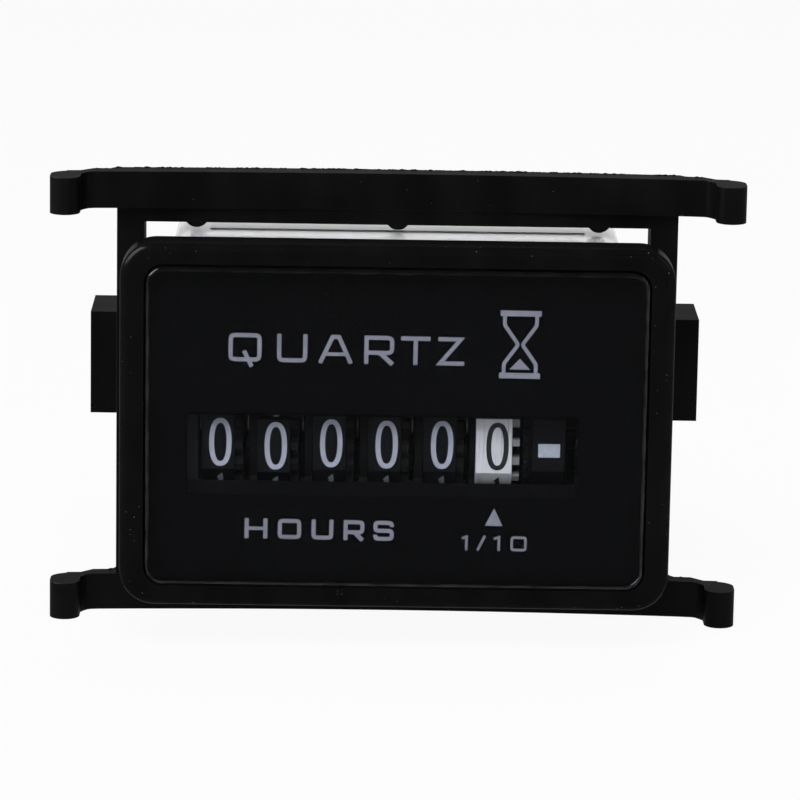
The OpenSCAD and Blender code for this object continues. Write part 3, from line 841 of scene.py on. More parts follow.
@dataclass(frozen=True)
class Stroke:
    """A line of ink along a path."""

    path: tuple[Point, ...]
    width: float
    closed: bool = False

    def sides(self) -> list[tuple[Point, Point]]:
        """Both sides of the line, mitred at its corners.

        Returns:
            The left and right side at each point of the path.
        """
        pts = self.path
        made = []
        for i, p in enumerate(pts):
            before = pts[i - 1] if i or self.closed else None
            after = pts[(i + 1) % len(pts)] if i + 1 < len(pts) or self.closed else None
            a = _heading(before, p) if before else _heading(p, after)
            b = _heading(p, after) if after else a
            nx, ny = -(a[1] + b[1]), a[0] + b[0]
            size = math.hypot(nx, ny) or 1.0
            nx, ny = nx / size, ny / size
            reach = self.width / 2 / max(nx * -a[1] + ny * a[0], 0.45)
            made.append(((p[0] + nx * reach, p[1] + ny * reach), (p[0] - nx * reach, p[1] - ny * reach)))
        return made

    def lay(self, bm: bmesh.types.BMesh, place: Place, lift: float) -> None:
        """Adds the line as a thin layer of ink.

        Args:
            bm: the mesh that gets it.
            place: turns across, up and height into a point of the part.
            lift: thickness of the ink.
        """
        rows = [
            [place(*left, lift), place(*right, lift), place(*right, 0.0), place(*left, 0.0)]
            for left, right in self.sides()
        ]
        wrap(bm, rows, self.closed)


def _heading(a: Point, b: Point) -> Point:
    """Direction from one point to another.

    Args:
        a: the first point.
        b: the second point.

    Returns:
        The direction, one long.
    """
    dx, dy = b[0] - a[0], b[1] - a[1]
    size = math.hypot(dx, dy) or 1.0
    return dx / size, dy / size


def bent(path: Sequence[Point], radius: float, closed: bool = False, steps: int = 5) -> tuple[Point, ...]:
    """A path with its corners rounded.

    Args:
        path: corner points.
        radius: radius of each corner.
        closed: whether the path joins its start.
        steps: points on a corner, less one.

    Returns:
        The points of the rounded path.
    """
    made: list[Point] = []
    count = len(path)
    for i, p in enumerate(path):
        if not closed and i in (0, count - 1):
            made.append(p)
            continue
        a, b = _heading(p, path[i - 1]), _heading(p, path[(i + 1) % count])
        half = math.acos(max(-1.0, min(1.0, a[0] * b[0] + a[1] * b[1]))) / 2
        run = radius / math.tan(half)
        start = (p[0] + a[0] * run, p[1] + a[1] * run)
        end = (p[0] + b[0] * run, p[1] + b[1] * run)
        for k in range(steps + 1):
            t = k / steps
            q = (1 - t) ** 2, 2 * t * (1 - t), t * t
            made.append(tuple(q[0] * start[n] + q[1] * p[n] + q[2] * end[n] for n in (0, 1)))
    return tuple(made)


def arc(cx: float, cy: float, rx: float, ry: float, start: float, end: float) -> list[Point]:
    """Points of an oval arc between two angles in degrees.

    Args:
        cx: place of its middle across.
        cy: place of its middle up.
        rx: its radius across.
        ry: its radius up.
        start: angle of its first point.
        end: angle of its last point.

    Returns:
        The points.
    """
    count = max(4, int(abs(end - start) / 10))
    turn = [math.radians(start + (end - start) * i / count) for i in range(count + 1)]
    return [(cx + rx * math.cos(a), cy + ry * math.sin(a)) for a in turn]


def fine(path: Sequence[Point], step: float) -> tuple[Point, ...]:
    """A path with points added along its straight runs.

    Args:
        path: its points.
        step: the furthest that two points may lie apart.

    Returns:
        The points of the finer path.
    """
    made = [path[0]]
    for (ax, ay), (bx, by) in zip(path, path[1:]):
        parts = max(1, math.ceil(math.hypot(bx - ax, by - ay) / step))
        shares = [i / parts for i in range(1, parts + 1)]
        made += [(ax + (bx - ax) * t, ay + (by - ay) * t) for t in shares]
    return tuple(made)


def letter(sign: str, w: float, h: float, s: float) -> list[Stroke]:
    """The strokes of one squared letter in a box.

    Args:
        sign: the letter.
        w: width of the box.
        h: height of the box.
        s: width of a stroke.

    Returns:
        Its strokes.
    """
    left, right, low, top = s / 2, w - s / 2, s / 2, h - s / 2
    turn = 0.16 * h
    ring = Stroke(bent([(left, low), (right, low), (right, top), (left, top)], turn, True), s, True)
    if sign in "O0":
        return [ring]
    if sign == "Q":
        return [ring, Stroke(((0.47 * w, 0.38 * h), (0.71 * w, -0.18 * h)), s)]
    if sign == "U":
        return [Stroke(bent([(left, h), (left, low), (right, low), (right, h)], turn), s)]
    if sign == "A":
        legs = ((0.55 * s, 0.0), (0.41 * w, top), (0.59 * w, top), (w - 0.55 * s, 0.0))
        return [Stroke(legs, s), Stroke(((0.24 * w, 0.32 * h), (0.76 * w, 0.32 * h)), 0.85 * s)]
    if sign == "R":
        waist, side = 0.4 * h, right - 0.04 * w
        bowl = bent([(left, top), (side, top), (side, waist), (left, waist)], turn)
        leg = ((0.5 * w, waist), (w - 0.62 * s, 0.0))
        return [Stroke(((left, 0.0), (left, h)), s), Stroke(bowl, s), Stroke(leg, 1.1 * s)]
    if sign == "T":
        return [Stroke(((0.0, top), (w, top)), s), Stroke(((w / 2, 0.0), (w / 2, h - s)), s)]
    if sign == "Z":
        return [Stroke(((0.06 * w, top), (w - 0.9 * s, top), (0.9 * s, low), (w, low)), s)]
    if sign == "H":
        return [
            Stroke(((left, 0.0), (left, h)), s),
            Stroke(((right, 0.0), (right, h)), s),
            Stroke(((s, h / 2), (w - s, h / 2)), 0.85 * s),
        ]
    if sign == "S":
        upper = [(right, 0.7 * h), (right, top), (left, top), (left, h / 2)]
        lower = [(right, h / 2), (right, low), (left, low), (left, 0.3 * h)]
        return [Stroke(bent(upper + lower, turn), s)]
    if sign == "1":
        return [Stroke(((0.0, top - 0.12 * h), (w - s / 2, top), (w - s / 2, 0.0)), s)]
    return [Stroke(((s / 2, 0.0), (w - s / 2, h)), s)]


def numeral(value: int, w: float, h: float, s: float) -> list[Stroke]:
    """The strokes of one tall numeral about its middle.

    Args:
        value: the digit.
        w: its width.
        h: its height.
        s: width of a stroke.

    Returns:
        Its strokes.
    """
    oval = []
    count = 64
    for i in range(count):
        a = 2 * math.pi * i / count
        c, d = math.cos(a), math.sin(a)
        across, up = math.copysign(abs(c) ** 0.82, c), math.copysign(abs(d) ** 0.86, d)
        oval.append((0.5 + 0.5 * across, 0.5 + 0.5 * up))
    hook = arc(0.5, 0.7, 0.5, 0.3, 50, 180) + [(0.0, 0.3)]
    bowl = arc(0.5, 0.3, 0.5, 0.3, 180, 540)[:-1]
    shapes: dict[int, list[tuple[Sequence[Point], bool]]] = {
        0: [(oval, True)],
        1: [([(0.43, 0.82), (0.52, 0.87), (0.52, 0.0)], False)],
        2: [(arc(0.5, 0.72, 0.5, 0.28, 175, -25) + [(0.0, 0.0), (1.0, 0.0)], False)],
        3: [(arc(0.48, 0.76, 0.44, 0.24, 160, -80), False), (arc(0.48, 0.27, 0.52, 0.27, 95, -160), False)],
        4: [([(0.74, 0.0), (0.74, 1.0), (0.0, 0.3), (1.0, 0.3)], False)],
        5: [([(0.92, 1.0), (0.12, 1.0), (0.06, 0.52)] + arc(0.48, 0.31, 0.52, 0.31, 135, -155), False)],
        6: [(hook, False), (bowl, True)],
        7: [([(0.0, 1.0), (1.0, 1.0), (0.34, 0.0)], False)],
        8: [
            (arc(0.5, 0.76, 0.43, 0.24, 0, 360)[:-1], True),
            (arc(0.5, 0.27, 0.5, 0.27, 0, 360)[:-1], True),
        ],
        9: [([(1 - x, 1 - y) for x, y in hook], False), ([(1 - x, 1 - y) for x, y in bowl], True)],
    }
    made = []
    for path, closed in shapes[value]:
        sized = [((x - 0.5) * (w - s), (y - 0.5) * (h - s)) for x, y in path]
        made.append(Stroke(tuple(sized) if closed else fine(sized, 0.35), s, closed))
    return made


def patch(bm: bmesh.types.BMesh, corners: Sequence[Point], place: Place, lift: float) -> None:
    """Adds a filled flat shape as a thin layer of ink."""
    wrap(bm, [[place(*p, 0.0) for p in corners], [place(*p, lift) for p in corners]], False)


@dataclass
class Bezel:
    """Black front moulding with a seat for the lens and a tube round the window."""

    w: float = 54.0
    h: float = 36.2
    t: float = 4.0
    r: float = 3.5
    edge: float = 0.8
    seat_w: float = 49.2
    seat_h: float = 32.0
    seat_r: float = 1.9
    seat_y: float = -2.1
    web_y: float = -1.2
    tube_y: float = -0.1
    window: tuple[float, float, float, float] = (-1.3, -2.9, 38.6, 8.9)
    sill: float = 1.1
    brow: Point = (-1.0, 0.52)
    tube: tuple[float, float, float, float] = (-1.2, -2.9, 40.0, 10.5)
    pocket: tuple[float, float, float] = (45.2, 32.6, 2.1)
    window_r: float = 0.3
    tube_r: float = 1.0
    back_soft: float = 0.15
    seat_soft: float = 0.16
    seat_lip: float = 0.05
    hole_soft: float = 0.1
    pocket_soft: float = 0.2

    def build(self) -> bpy.types.Object:
        """Lofts the moulding's section round its outline.

        Returns:
            The moulding.
        """
        bm = bmesh.new()
        outer = centred(0.0, self.w, self.h, self.r)
        seat = centred(self.seat_y, self.seat_w, self.seat_h, self.seat_r)
        x, z, w, h = self.window
        hole = centred(self.seat_y, w, h, self.window_r, x, z)
        x, z, w, h = self.tube
        tube = centred(self.tube_y, w, h, self.tube_r, x, z)
        pocket = centred(self.web_y, *self.pocket)
        front = -self.t
        rows = [outer.inset(self.back_soft, 0.0), outer.inset(0.0, -self.back_soft)]
        rows += front_edge(outer, front, self.edge, 8)
        rows += [
            seat.inset(-self.seat_soft, front),
            seat.inset(-self.seat_lip, front + self.seat_lip, 1.0),
            seat.inset(0.0, front + self.seat_soft),
            seat,
            hole.inset(-self.hole_soft, self.seat_y),
            hole.inset(0.0, self.seat_y + self.hole_soft),
            replace(hole, y=self.brow[0], z0=hole.z0 + self.sill / 2, z1=self.brow[1]),
            replace(hole, y=self.tube_y, z0=hole.z0 + self.sill),
            tube,
            tube.inset(0.0, self.web_y),
            pocket,
            pocket.inset(0.0, -self.pocket_soft),
            pocket.inset(-self.pocket_soft, 0.0),
        ]
        loft(bm, rows, True)
        return piece(bm, "bezel_moulding", "case", Finish.BEZEL, ["bezel"])


@dataclass
class Lens:
    """Clear front plate that stands a little proud of the bezel."""

    w: float = 49.0
    h: float = 31.8
    r: float = 1.8
    front: float = -4.4
    back: float = -2.44
    edge: float = 0.5
    back_soft: float = 0.1
    back_shine: float = 0.6

    def build(self) -> bpy.types.Object:
        """Lofts the plate with its front edge rounded.

        Returns:
            The plate.
        """
        bm = bmesh.new()
        side = centred(self.back, self.w, self.h, self.r)
        rows = [
            side.inset(self.back_soft, self.back),
            side.inset(0.0, self.back - self.back_soft, self.back_shine),
        ]
        rows += front_edge(side, self.front, self.edge, 8)
        loft(bm, rows, False)
        return piece(bm, "lens_plate", "case", Finish.LENS, ["lens"])


@dataclass
class Face:
    """Black mask behind the lens, with its printed legends."""

    w: float = 49.0
    h: float = 31.8
    r: float = 1.8
    front: float = -2.4
    back: float = -2.1
    window: tuple[float, float, float, float] = (-1.3, -3.05, 38.2, 8.2)
    window_r: float = 0.15
    soft: float = 0.05
    words: tuple[tuple[str, float, float, float, tuple[Point, ...]], ...] = (
        (
            "QUARTZ", 6.13, 2.82, 0.41,
            ((-16.47, 3.22), (-11.74, 2.95), (-7.76, 3.46), (-3.24, 3.03), (0.33, 2.86), (3.8, 2.72)),
        ),
        (
            "HOURS", -11.63, 2.02, 0.4,
            ((-14.63, 2.24), (-11.37, 2.3), (-8.05, 2.14), (-4.9, 2.12), (-1.98, 2.02)),
        ),
        ("1/10", -12.42, 1.5, 0.25, ((6.74, 0.58), (8.17, 0.95), (9.89, 0.62), (11.53, 1.6))),
    )
    tilt: float = -0.35
    pointer: tuple[Point, ...] = ((8.97, -9.9), (10.7, -9.9), (9.835, -8.12))
    glass: tuple[float, float, float, float] = (11.95, 8.35, 2.0, 3.1)
    glass_line: float = 0.36
    glass_turn: float = 0.35
    glass_cap: float = 0.28
    glass_neck: float = 0.2
    heap_low: float = 0.62

    def _on_mask(self, across: float, up: float, lift: float) -> Vector:
        """A point on the mask's front, where the print lies slightly aslant.

        Args:
            across: place across the print.
            up: place up the print.
            lift: height above the mask.

        Returns:
            The point.
        """
        a = math.radians(self.tilt)
        x = across * math.cos(a) - up * math.sin(a)
        return Vector((x, self.front - lift, across * math.sin(a) + up * math.cos(a)))

    def build(self) -> None:
        """Makes the mask, the legends and the hourglass sign."""
        bm = bmesh.new()
        outer = centred(self.front, self.w, self.h, self.r)
        x, z, w, h = self.window
        hole = centred(self.front, w, h, self.window_r, x, z)
        loft(
            bm,
            [
                outer.inset(0.0, self.back),
                outer.inset(0.0, self.front + self.soft),
                outer.inset(self.soft, self.front),
                hole.inset(-self.soft, self.front),
                hole.inset(0.0, self.front + self.soft),
                hole.inset(0.0, self.back),
            ],
            True,
        )
        piece(bm, "mask_plate", "case", Finish.MASK, ["face_mask"])
        bm = bmesh.new()
        for word, low, height, stroke, cells in self.words:
            for sign, (start, width) in zip(word, cells):
                for layer, line in enumerate(letter(sign, width, height, stroke)):
                    moved = tuple((x + start, z + low) for x, z in line.path)
                    lift = INK + OVERPRINT * layer
                    Stroke(moved, line.width, line.closed).lay(bm, self._on_mask, lift)
        patch(bm, self.pointer, self._on_mask, INK)
        self._hourglass(bm)
        piece(bm, "legends", "case", Finish.LEGEND)

    def _hourglass(self, bm: bmesh.types.BMesh) -> None:
        """Adds the plain hourglass sign.

        Args:
            bm: the mesh that gets it.
        """
        x, z, half, tall = self.glass
        cap, bulge, shoulder = self.glass_cap, 0.78 * half, 0.62 * tall
        for s in (-1, 1):
            low, high = z + s * tall - cap, z + s * tall + cap
            plate = [(x - half, low), (x + half, low), (x + half, high), (x - half, high)]
            patch(bm, plate, self._on_mask, INK)
            upper = [(s * bulge, tall - cap), (s * bulge, shoulder)]
            lower = [(s * bulge, -shoulder), (s * bulge, cap - tall)]
            side = [*upper, (s * self.glass_neck, 0.0), *lower]
            path = bent([(x + a, z + b) for a, b in side], self.glass_turn)
            Stroke(path, self.glass_line).lay(bm, self._on_mask, INK)
        base = z - tall + self.heap_low
        heap = [(x - 0.5 * half, base), (x + 0.5 * half, base), (x, z - 0.45 * tall)]
        patch(bm, heap, self._on_mask, INK)


def turned(
    bm: bmesh.types.BMesh, profile: Sequence[Point], flat_from: float = math.inf, lean: float = 0.0
) -> None:
    """Turns a closed profile of places along the shaft and radii round the wheel axis.

    Args:
        bm: the mesh that gets the faces.
        profile: places and radii, at a drum's corners where it has flats.
        flat_from: radius from which the profile follows the drum's flats.
        lean: how far in degrees the first flat is turned up from the front.
    """
    rows = []
    per_flat = 16
    count = per_flat * FLATS
    for i in range(count):
        a = math.radians(180.0 - lean) + 2 * math.pi * i / count
        off = (i + per_flat / 2) % per_flat - per_flat / 2
        flat = math.cos(math.pi / FLATS) / math.cos(2 * math.pi * off / count)
        row = []
        for x, r in profile:
            q = r * flat if r > flat_from else r
            row.append(Vector((x, AXIS_Y + q * math.cos(a), AXIS_Z + q * math.sin(a))))
        rows.append(row)
    wrap(bm, rows)


def on_flat(x: float, angle: float, reach: float) -> Place:
    """Places ink on a flat of a drum.

    Args:
        x: where the middle of the ink lies along the shaft.
        angle: how far in degrees the flat is turned up from the front.
        reach: distance of the flat from the wheel axis.

    Returns:
        A function that turns across, up and height into a point of the part.
    """
    c, s = math.cos(math.radians(angle)), math.sin(math.radians(angle))

    def place(across: float, up: float, lift: float) -> Vector:
        """A point on the flat."""
        r = reach + lift
        return Vector((x + across, AXIS_Y - r * c + up * s, AXIS_Z + r * s + up * c))

    return place


def tooth_points(
    teeth: int, module: float, phase: float, rise: float = 0.5, sink: float = TOOTH_SINK
) -> list[Point]:
    """Radius and angle of the points round a wheel with involute teeth.

    Args:
        teeth: number of teeth.
        module: pitch diameter over teeth.
        phase: angle in degrees of one tooth's middle.
        rise: height of a tooth above the pitch circle, in modules.
        sink: depth of a gap below it, in modules.

    Returns:
        Pairs of radius and angle.
    """
    press = math.radians(20.0)
    pitch_r = teeth * module / 2
    root, tip = pitch_r - sink * module, pitch_r + rise * module
    low = max(root, pitch_r * math.cos(press))
    thick = math.pi * module / 2 - 0.15 * module

    def half(r: float) -> float:
        """Half of a tooth's angle at a radius."""
        at = math.acos(min(1.0, pitch_r * math.cos(press) / r))
        return thick / (2 * pitch_r) + (math.tan(press) - press) - (math.tan(at) - at)

    flank = [low + (tip - low) * k / 3 for k in range(4)]
    made = []
    for i in range(teeth):
        a = math.radians(phase) + 2 * math.pi * i / teeth
        made.append((root, a - half(low)))
        made += [(r, a - half(r)) for r in flank]
        made += [(r, a + half(r)) for r in reversed(flank)]
        made.append((root, a + half(low)))
    return made


def toothed(bm: bmesh.types.BMesh, points: Sequence[Point], inner: float, x0: float, x1: float) -> None:
    """Adds a toothed ring with softened tooth edges.

    Args:
        bm: the mesh that gets it.
        points: radius and angle of the points round it.
        inner: its inner radius.
        x0: where it starts along the shaft.
        x1: where it ends.
    """
    rows = []
    soft = 0.05
    for r, a in points:
        line = [(x0, inner), (x0, r - soft), (x0 + soft, r), (x1 - soft, r), (x1, r - soft), (x1, inner)]
        rows.append([Vector((x, AXIS_Y + q * math.cos(a), AXIS_Z + q * math.sin(a))) for x, q in line])
    wrap(bm, rows)


def ring_inner(teeth: int, module: float, wall: float) -> float:
    """Inner radius of a toothed ring with that much wall under its gaps."""
    return teeth * module / 2 - TOOTH_SINK * module - wall


def sleeve(bm: bmesh.types.BMesh, inner: float, outer: float, x0: float, x1: float) -> None:
    """Adds a plain sleeve between two places on the shaft."""
    turned(bm, [(x0, inner), (x0, outer), (x1, outer), (x1, inner)])


def wheel_profile(r: float, x0: float, x1: float, h0: float, h1: float) -> list[Point]:
    """Profile of a drum with a rim, a web and a hub, its rim edges rounded.

    Args:
        r: outer radius at the corners of its flats.
        x0: where the rim starts along the shaft.
        x1: where the rim ends.
        h0: where the hub starts.
        h1: where the hub ends.

    Returns:
        Places along the shaft and radii.
    """
    rim, hub, soft, chamfer = 1.1, 2.0, 0.14, 0.08
    web = (x0 + x1) / 2 - 0.5, (x0 + x1) / 2 + 0.5
    turns = [math.radians(22.5 * i) for i in range(5)]
    made = [(h0, BORE), (h0, hub - chamfer), (h0 + chamfer, hub)]
    made += [(web[0], hub), (web[0], r - rim), (x0, r - rim)]
    made += [(x0 + soft * (1 - math.cos(a)), r - soft * (1 - math.sin(a))) for a in turns]
    made += [(x1 - soft * (1 - math.sin(a)), r - soft * (1 - math.cos(a))) for a in turns]
    made += [(x1, r - rim), (web[1], r - rim), (web[1], hub)]
    made += [(h1 - chamfer, hub), (h1, hub - chamfer), (h1, BORE)]
    return made


@dataclass
class NumberWheel:
    """One number wheel: a drum with ten numerals, a toothed ring, and a carry disc on its left."""

    name: str
    place: int
    turn: float = 0.0
    first_x: float = -17.4
    pitch: float = 5.45
    r: float = 8.8
    drum_w: float = 3.3
    ring_w: float = 0.75
    carry_w: float = 0.8
    tall: float = 4.85
    wide: float = 2.2
    stroke: float = 0.49
    shift: float = 0.2
    slip: float = -0.14
    white_extra: float = 0.3
    end_x: float = -19.3
    gap: float = 0.15
    white_end: float = 0.05
    overlap: float = 0.02
    wall: float = 1.1
    teeth: int = 20
    module: float = 0.7
    white_teeth: int = 24
    white_module: float = 19.6 / 32
    disc_wall: float = 1.4
    disc_clear: float = 0.1
    flats_from: float = 0.5
    finish: Finish = Finish.BLACK_DRUM
    ink: Finish = Finish.NUMERAL

    @property
    def tenths(self) -> bool:
        """Whether this is the white wheel."""
        return self.place == 5

    def build(self) -> None:
        """Makes the wheel and its numerals."""
        x = self.first_x + self.place * self.pitch
        half = (self.drum_w + (self.white_extra if self.tenths else 0.0)) / 2
        mid = x + (self.slip if self.tenths else 0.0)
        start = x - self.drum_w / 2 - self.carry_w - self.gap
        h0 = self.end_x if self.place == 0 else start
        h1 = x + half + self.ring_w + self.white_end if self.tenths else start + self.pitch - self.gap
        bm = bmesh.new()
        profile = wheel_profile(self.r, mid - half, mid + half, h0, h1)
        turned(bm, profile, self.r - self.flats_from, self.turn)
        teeth = self.white_teeth if self.tenths else self.teeth
        module = self.white_module if self.tenths else self.module
        ring = mid + half - self.overlap, mid + half + self.ring_w
        points = tooth_points(teeth, module, CARRY_ANGLE)
        toothed(bm, points, ring_inner(teeth, module, self.wall), *ring)
        if self.place:
            self._carry_disc(bm, x - self.drum_w / 2 - self.carry_w, mid - half + self.overlap)
        body = self.name + "_wheel"
        piece(bm, "drum_" + self.name, body, self.finish, ["wheel_" + self.name], WHEEL_SHARP)
        bm = bmesh.new()
        reach = self.r * math.cos(math.pi / FLATS)
        for value in range(FLATS):
            flat = on_flat(x + self.shift, self.turn - 360.0 / FLATS * value, reach)
            for layer, line in enumerate(numeral(value, self.wide, self.tall, self.stroke)):
                line.lay(bm, flat, INK + OVERPRINT * layer)
        piece(bm, "numerals_" + self.name, body, self.ink)

    def _carry_disc(self, bm: bmesh.types.BMesh, x0: float, x1: float) -> None:
        """Adds the locking rim with its two carry teeth.

        Args:
            bm: the mesh that gets it.
            x0: where it starts along the shaft.
            x1: where it ends.
        """
        rim = self.module * (self.teeth / 2 - TOOTH_SINK) - self.disc_clear
        step = 360.0 / self.teeth
        phase = CARRY_ANGLE + 180.0 + step / 2
        whole = tooth_points(self.teeth, self.module, phase)
        each = len(whole) // self.teeth
        points: list[Point] = []
        for i in range(self.teeth):
            if i in (0, self.teeth - 1):
                points += whole[each * i:each * (i + 1)]
            else:
                a = math.radians(phase + step * i - step / 2)
                points += [(rim, a + math.radians(step) * (k + 0.5) / each) for k in range(each)]
        toothed(bm, points, rim - self.disc_wall, x0, x1)


@dataclass
class RunWheel:
    """Run indicator: a black drum with white marks, driven by the motor's gears."""

    r: float = 8.4
    x0: float = 13.4
    x1: float = 16.8
    flats_from: float = 0.5
    hub_ends: Point = (0.1, 0.2)
    ring: Point = (12.6, 13.1)
    ring_teeth: int = 32
    ring_module: float = 0.5
    ring_phase: float = -20.0
    ring_wall: float = 1.1
    collar_r: Point = (6.4, 6.95)
    collar_end: float = 15.0
    axle_r: float = 1.35
    axle: Point = (15.1, 19.3)
    pinion: Point = (16.5, 18.05)
    pinion_r: float = 1.2
    pinion_teeth: int = 8
    pinion_module: float = 0.49
    pinion_rise: float = 0.9
    pinion_sink: float = 0.7
    mark: tuple[float, float, float] = (15.15, 2.15, 1.36)
    turn: float = -1.3
    drop: float = 0.49
    marks: int = 5

    def build(self) -> None:
        """Makes the drum with its driven ring and pinion, and the marks on it."""
        bm = bmesh.new()
        start, end = self.ring[0] - self.hub_ends[0], self.x1 - self.hub_ends[1]
        drum = wheel_profile(self.r, self.x0, self.x1, start, end)
        turned(bm, drum, self.r - self.flats_from, self.turn)
        ring = tooth_points(self.ring_teeth, self.ring_module, self.ring_phase)
        toothed(bm, ring, ring_inner(self.ring_teeth, self.ring_module, self.ring_wall), *self.ring)
        sleeve(bm, *self.collar_r, self.ring[0] + self.hub_ends[0], self.collar_end)
        sleeve(bm, BORE, self.axle_r, *self.axle)
        phase = CARRY_ANGLE + 180.0 / self.pinion_teeth
        points = tooth_points(
            self.pinion_teeth, self.pinion_module, phase, self.pinion_rise, self.pinion_sink
        )
        toothed(bm, points, self.pinion_r, *self.pinion)
        piece(bm, "drum_run", "run_wheel", Finish.RUN_DRUM, ["run_wheel"], WHEEL_SHARP)
        bm = bmesh.new()
        centre, wide, tall = self.mark
        bar = Stroke(((0.0, -self.drop - tall / 2), (0.0, -self.drop + tall / 2)), wide)
        for i in range(self.marks):
            angle = self.turn + 360.0 / self.marks * i
            bar.lay(bm, on_flat(centre, angle, self.r * math.cos(math.pi / FLATS)), INK)
        piece(bm, "run_marks", "run_wheel", Finish.RUN_MARK)


@dataclass
class Casing:
    """Housing with its ratchet sides, and the two blade terminals."""

    half_w: float = 22.5
    half_h: float = 16.2
    wall: float = 0.7
    inner_back: float = 35.4
    rib: float = 0.12
    rib_half: float = 18.85
    rib_from: float = 0.1
    soft: float = 0.06
    blade_soft: float = 0.12

    def _lower_ribs(self, bm: bmesh.types.BMesh) -> None:
        """Lowers the ribs on the housing's top and bottom to their seen height.

        Args:
            bm: mesh of the housing.
        """
        for vert in bm.verts:
            if abs(vert.co.z) > self.half_h + self.rib_from and abs(vert.co.x) < self.rib_half:
                vert.co.z = math.copysign(self.half_h + self.rib, vert.co.z)

    def build(self) -> None:
        """Lowers the ribs, rounds the edges of the housing and the blades, and gives the housing's inner
        faces a painted shade.
        """
        bm = softened("housing", self.soft, 2, 40.0, self._lower_ribs)
        box = piece(bm, "housing_box", "case", Finish.HOUSING, ["housing"])
        # The inner faces get the darker copy of the plastic as painted shade.
        box.data.materials.append(Finish.CAVITY.paint())
        for face in box.data.polygons:
            x, y, z = face.center / MM
            in_painted_shade = max(abs(x) - self.half_w, abs(z) - self.half_h) < -self.wall
            face.material_index = int(in_painted_shade and y < self.inner_back)
        for side in ("positive", "negative"):
            node = "terminal_" + side
            bm = softened(node, self.blade_soft, 2)
            piece(bm, "blade_" + side, "case", Finish.BLADE, [node])


@dataclass
class Clip:
    """Mounting clip: spring bars with feet, collar, posts and finger lugs in one moulding."""

    bar_low: float = 18.8
    bar_top: float = 22.5
    bar_back: float = 14.3
    bow: float = 1.3
    free_x: Point = (28.15, 28.65)
    heel_x: Point = (30.4, 31.6)
    foot_x: float = 33.0
    thin: float = 0.7
    heel: float = 1.85
    foot_front: float = 8.0
    bar_waist: float = 10.9
    heel_back: float = 13.0
    soft: float = 0.25
    seam_step: float = 0.14
    seam_height: float = 0.15
    seam_in: float = 0.22
    seam_foot: Point = (0.1, 0.08)
    seam_sink: float = 0.05
    seam_follow: float = 0.55
    seam_seed: int = 11

    def build(self) -> None:
        """Draws in the heels of the feet, rounds the edges and adds the mould's seam."""
        bm = softened("mounting_clip", self.soft, 3, 30.0, self._draw_in)
        piece(bm, "clip_moulding", "clip", Finish.CLIP, ["mounting_clip"])
        self._seam()

    @staticmethod
    def _part(value: float, low: float, high: float) -> float:
        """How far a value has come from low to high, from zero to one."""
        return min(1.0, max(0.0, (value - low) / (high - low)))

    def _depth(self, x: float, y: float) -> float:
        """Depth of a point of a bar once its free end is thinned and the foot's heel drawn in.

        Args:
            x: its place along the bar.
            y: its depth before.

        Returns:
            Its new depth.
        """
        end = self._part(abs(x), *self.heel_x)
        start = self.bar_waist + (self.foot_front - self.bar_waist) * end
        pull = self.thin * self._part(abs(x), *self.free_x) + (self.heel - self.thin) * end
        return y - pull * self._part(y, start, self.heel_back)

    def _draw_in(self, bm: bmesh.types.BMesh) -> None:
        """Thins the free ends of the bars behind and draws in the feet's heels.

        Args:
            bm: mesh of the clip.
        """
        for x in (*self.free_x, *self.heel_x):
            for side in (-x, x):
                bmesh.ops.bisect_plane(
                    bm,
                    geom=[*bm.verts, *bm.edges, *bm.faces],
                    plane_co=(side, 0.0, 0.0),
                    plane_no=(1.0, 0.0, 0.0),
                )
        for vert in bm.verts:
            if abs(vert.co.z) > self.bar_low - 0.01:
                vert.co.y = self._depth(vert.co.x, vert.co.y)

    def _seam(self) -> None:
        """Adds the thin ragged seam that the mould left along the upper edges of the bars."""
        draw = random.Random(self.seam_seed)
        bm = bmesh.new()
        span = self.heel_x[0]
        count = round(2 * span / self.seam_step)
        for z in (self.bar_top, -self.bar_low):
            rows = []
            height = 0.0
            for i in range(count + 1):
                x = -span + 2 * span * i / count
                back = self.bar_back - self.bow * (x / self.foot_x) ** 2
                y = self._depth(x, back) - self.seam_in
                height += (self.seam_height * draw.random() ** 2 - height) * self.seam_follow
                foot = z - self.seam_sink
                corners = (y - self.seam_foot[0], foot), (y + self.seam_foot[1], foot), (y, z + height)
                rows.append([Vector((x, *corner)) for corner in corners])
            wrap(bm, rows, False)
        piece(bm, "clip_seam", "clip", Finish.CLIP)


@dataclass(frozen=True)
class Works:
    """Frame, shafts, gears, motor and circuit board behind the face."""

    finishes: tuple[tuple[Finish, tuple[str, ...]], ...] = (
        (Finish.FRAME, ("counter_frame",)),
        (Finish.STEEL, ("wheel_shaft", "pinion_shaft", "motor_screw_front", "motor_screw_rear")),
        (Finish.STEEL, ("board_screw_left", "board_screw_right")),
        (Finish.IVORY, tuple(f"carry_pinion_{i}" for i in range(1, 6))),
        (Finish.IVORY, ("reduction_gear", "intermediate_gear")),
        (Finish.MAGNET, ("motor_rotor",)),
        (Finish.LAMINATION, ("motor_stator", "coil_core")),
        (Finish.BOBBIN, ("coil_bobbin",)),
        (Finish.WINDING, ("coil_winding",)),
        (Finish.BOARD, ("circuit_board",)),
        (Finish.CAN, ("quartz_crystal",)),
        (Finish.CHIP, ("timer_chip",)),
        (Finish.CAPACITOR, ("capacitor",)),
        (Finish.RESISTOR, ("resistor",)),
        (Finish.DIODE, ("diode",)),
    )

    def dress(self) -> None:
        """Gives each solid of the works its finish."""
        for finish, nodes in self.finishes:
            for node in nodes:
                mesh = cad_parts[node].data
                mesh.materials.clear()
                mesh.materials.append(finish.paint())
                LOG.info("%s: %s", node, finish.name.lower())


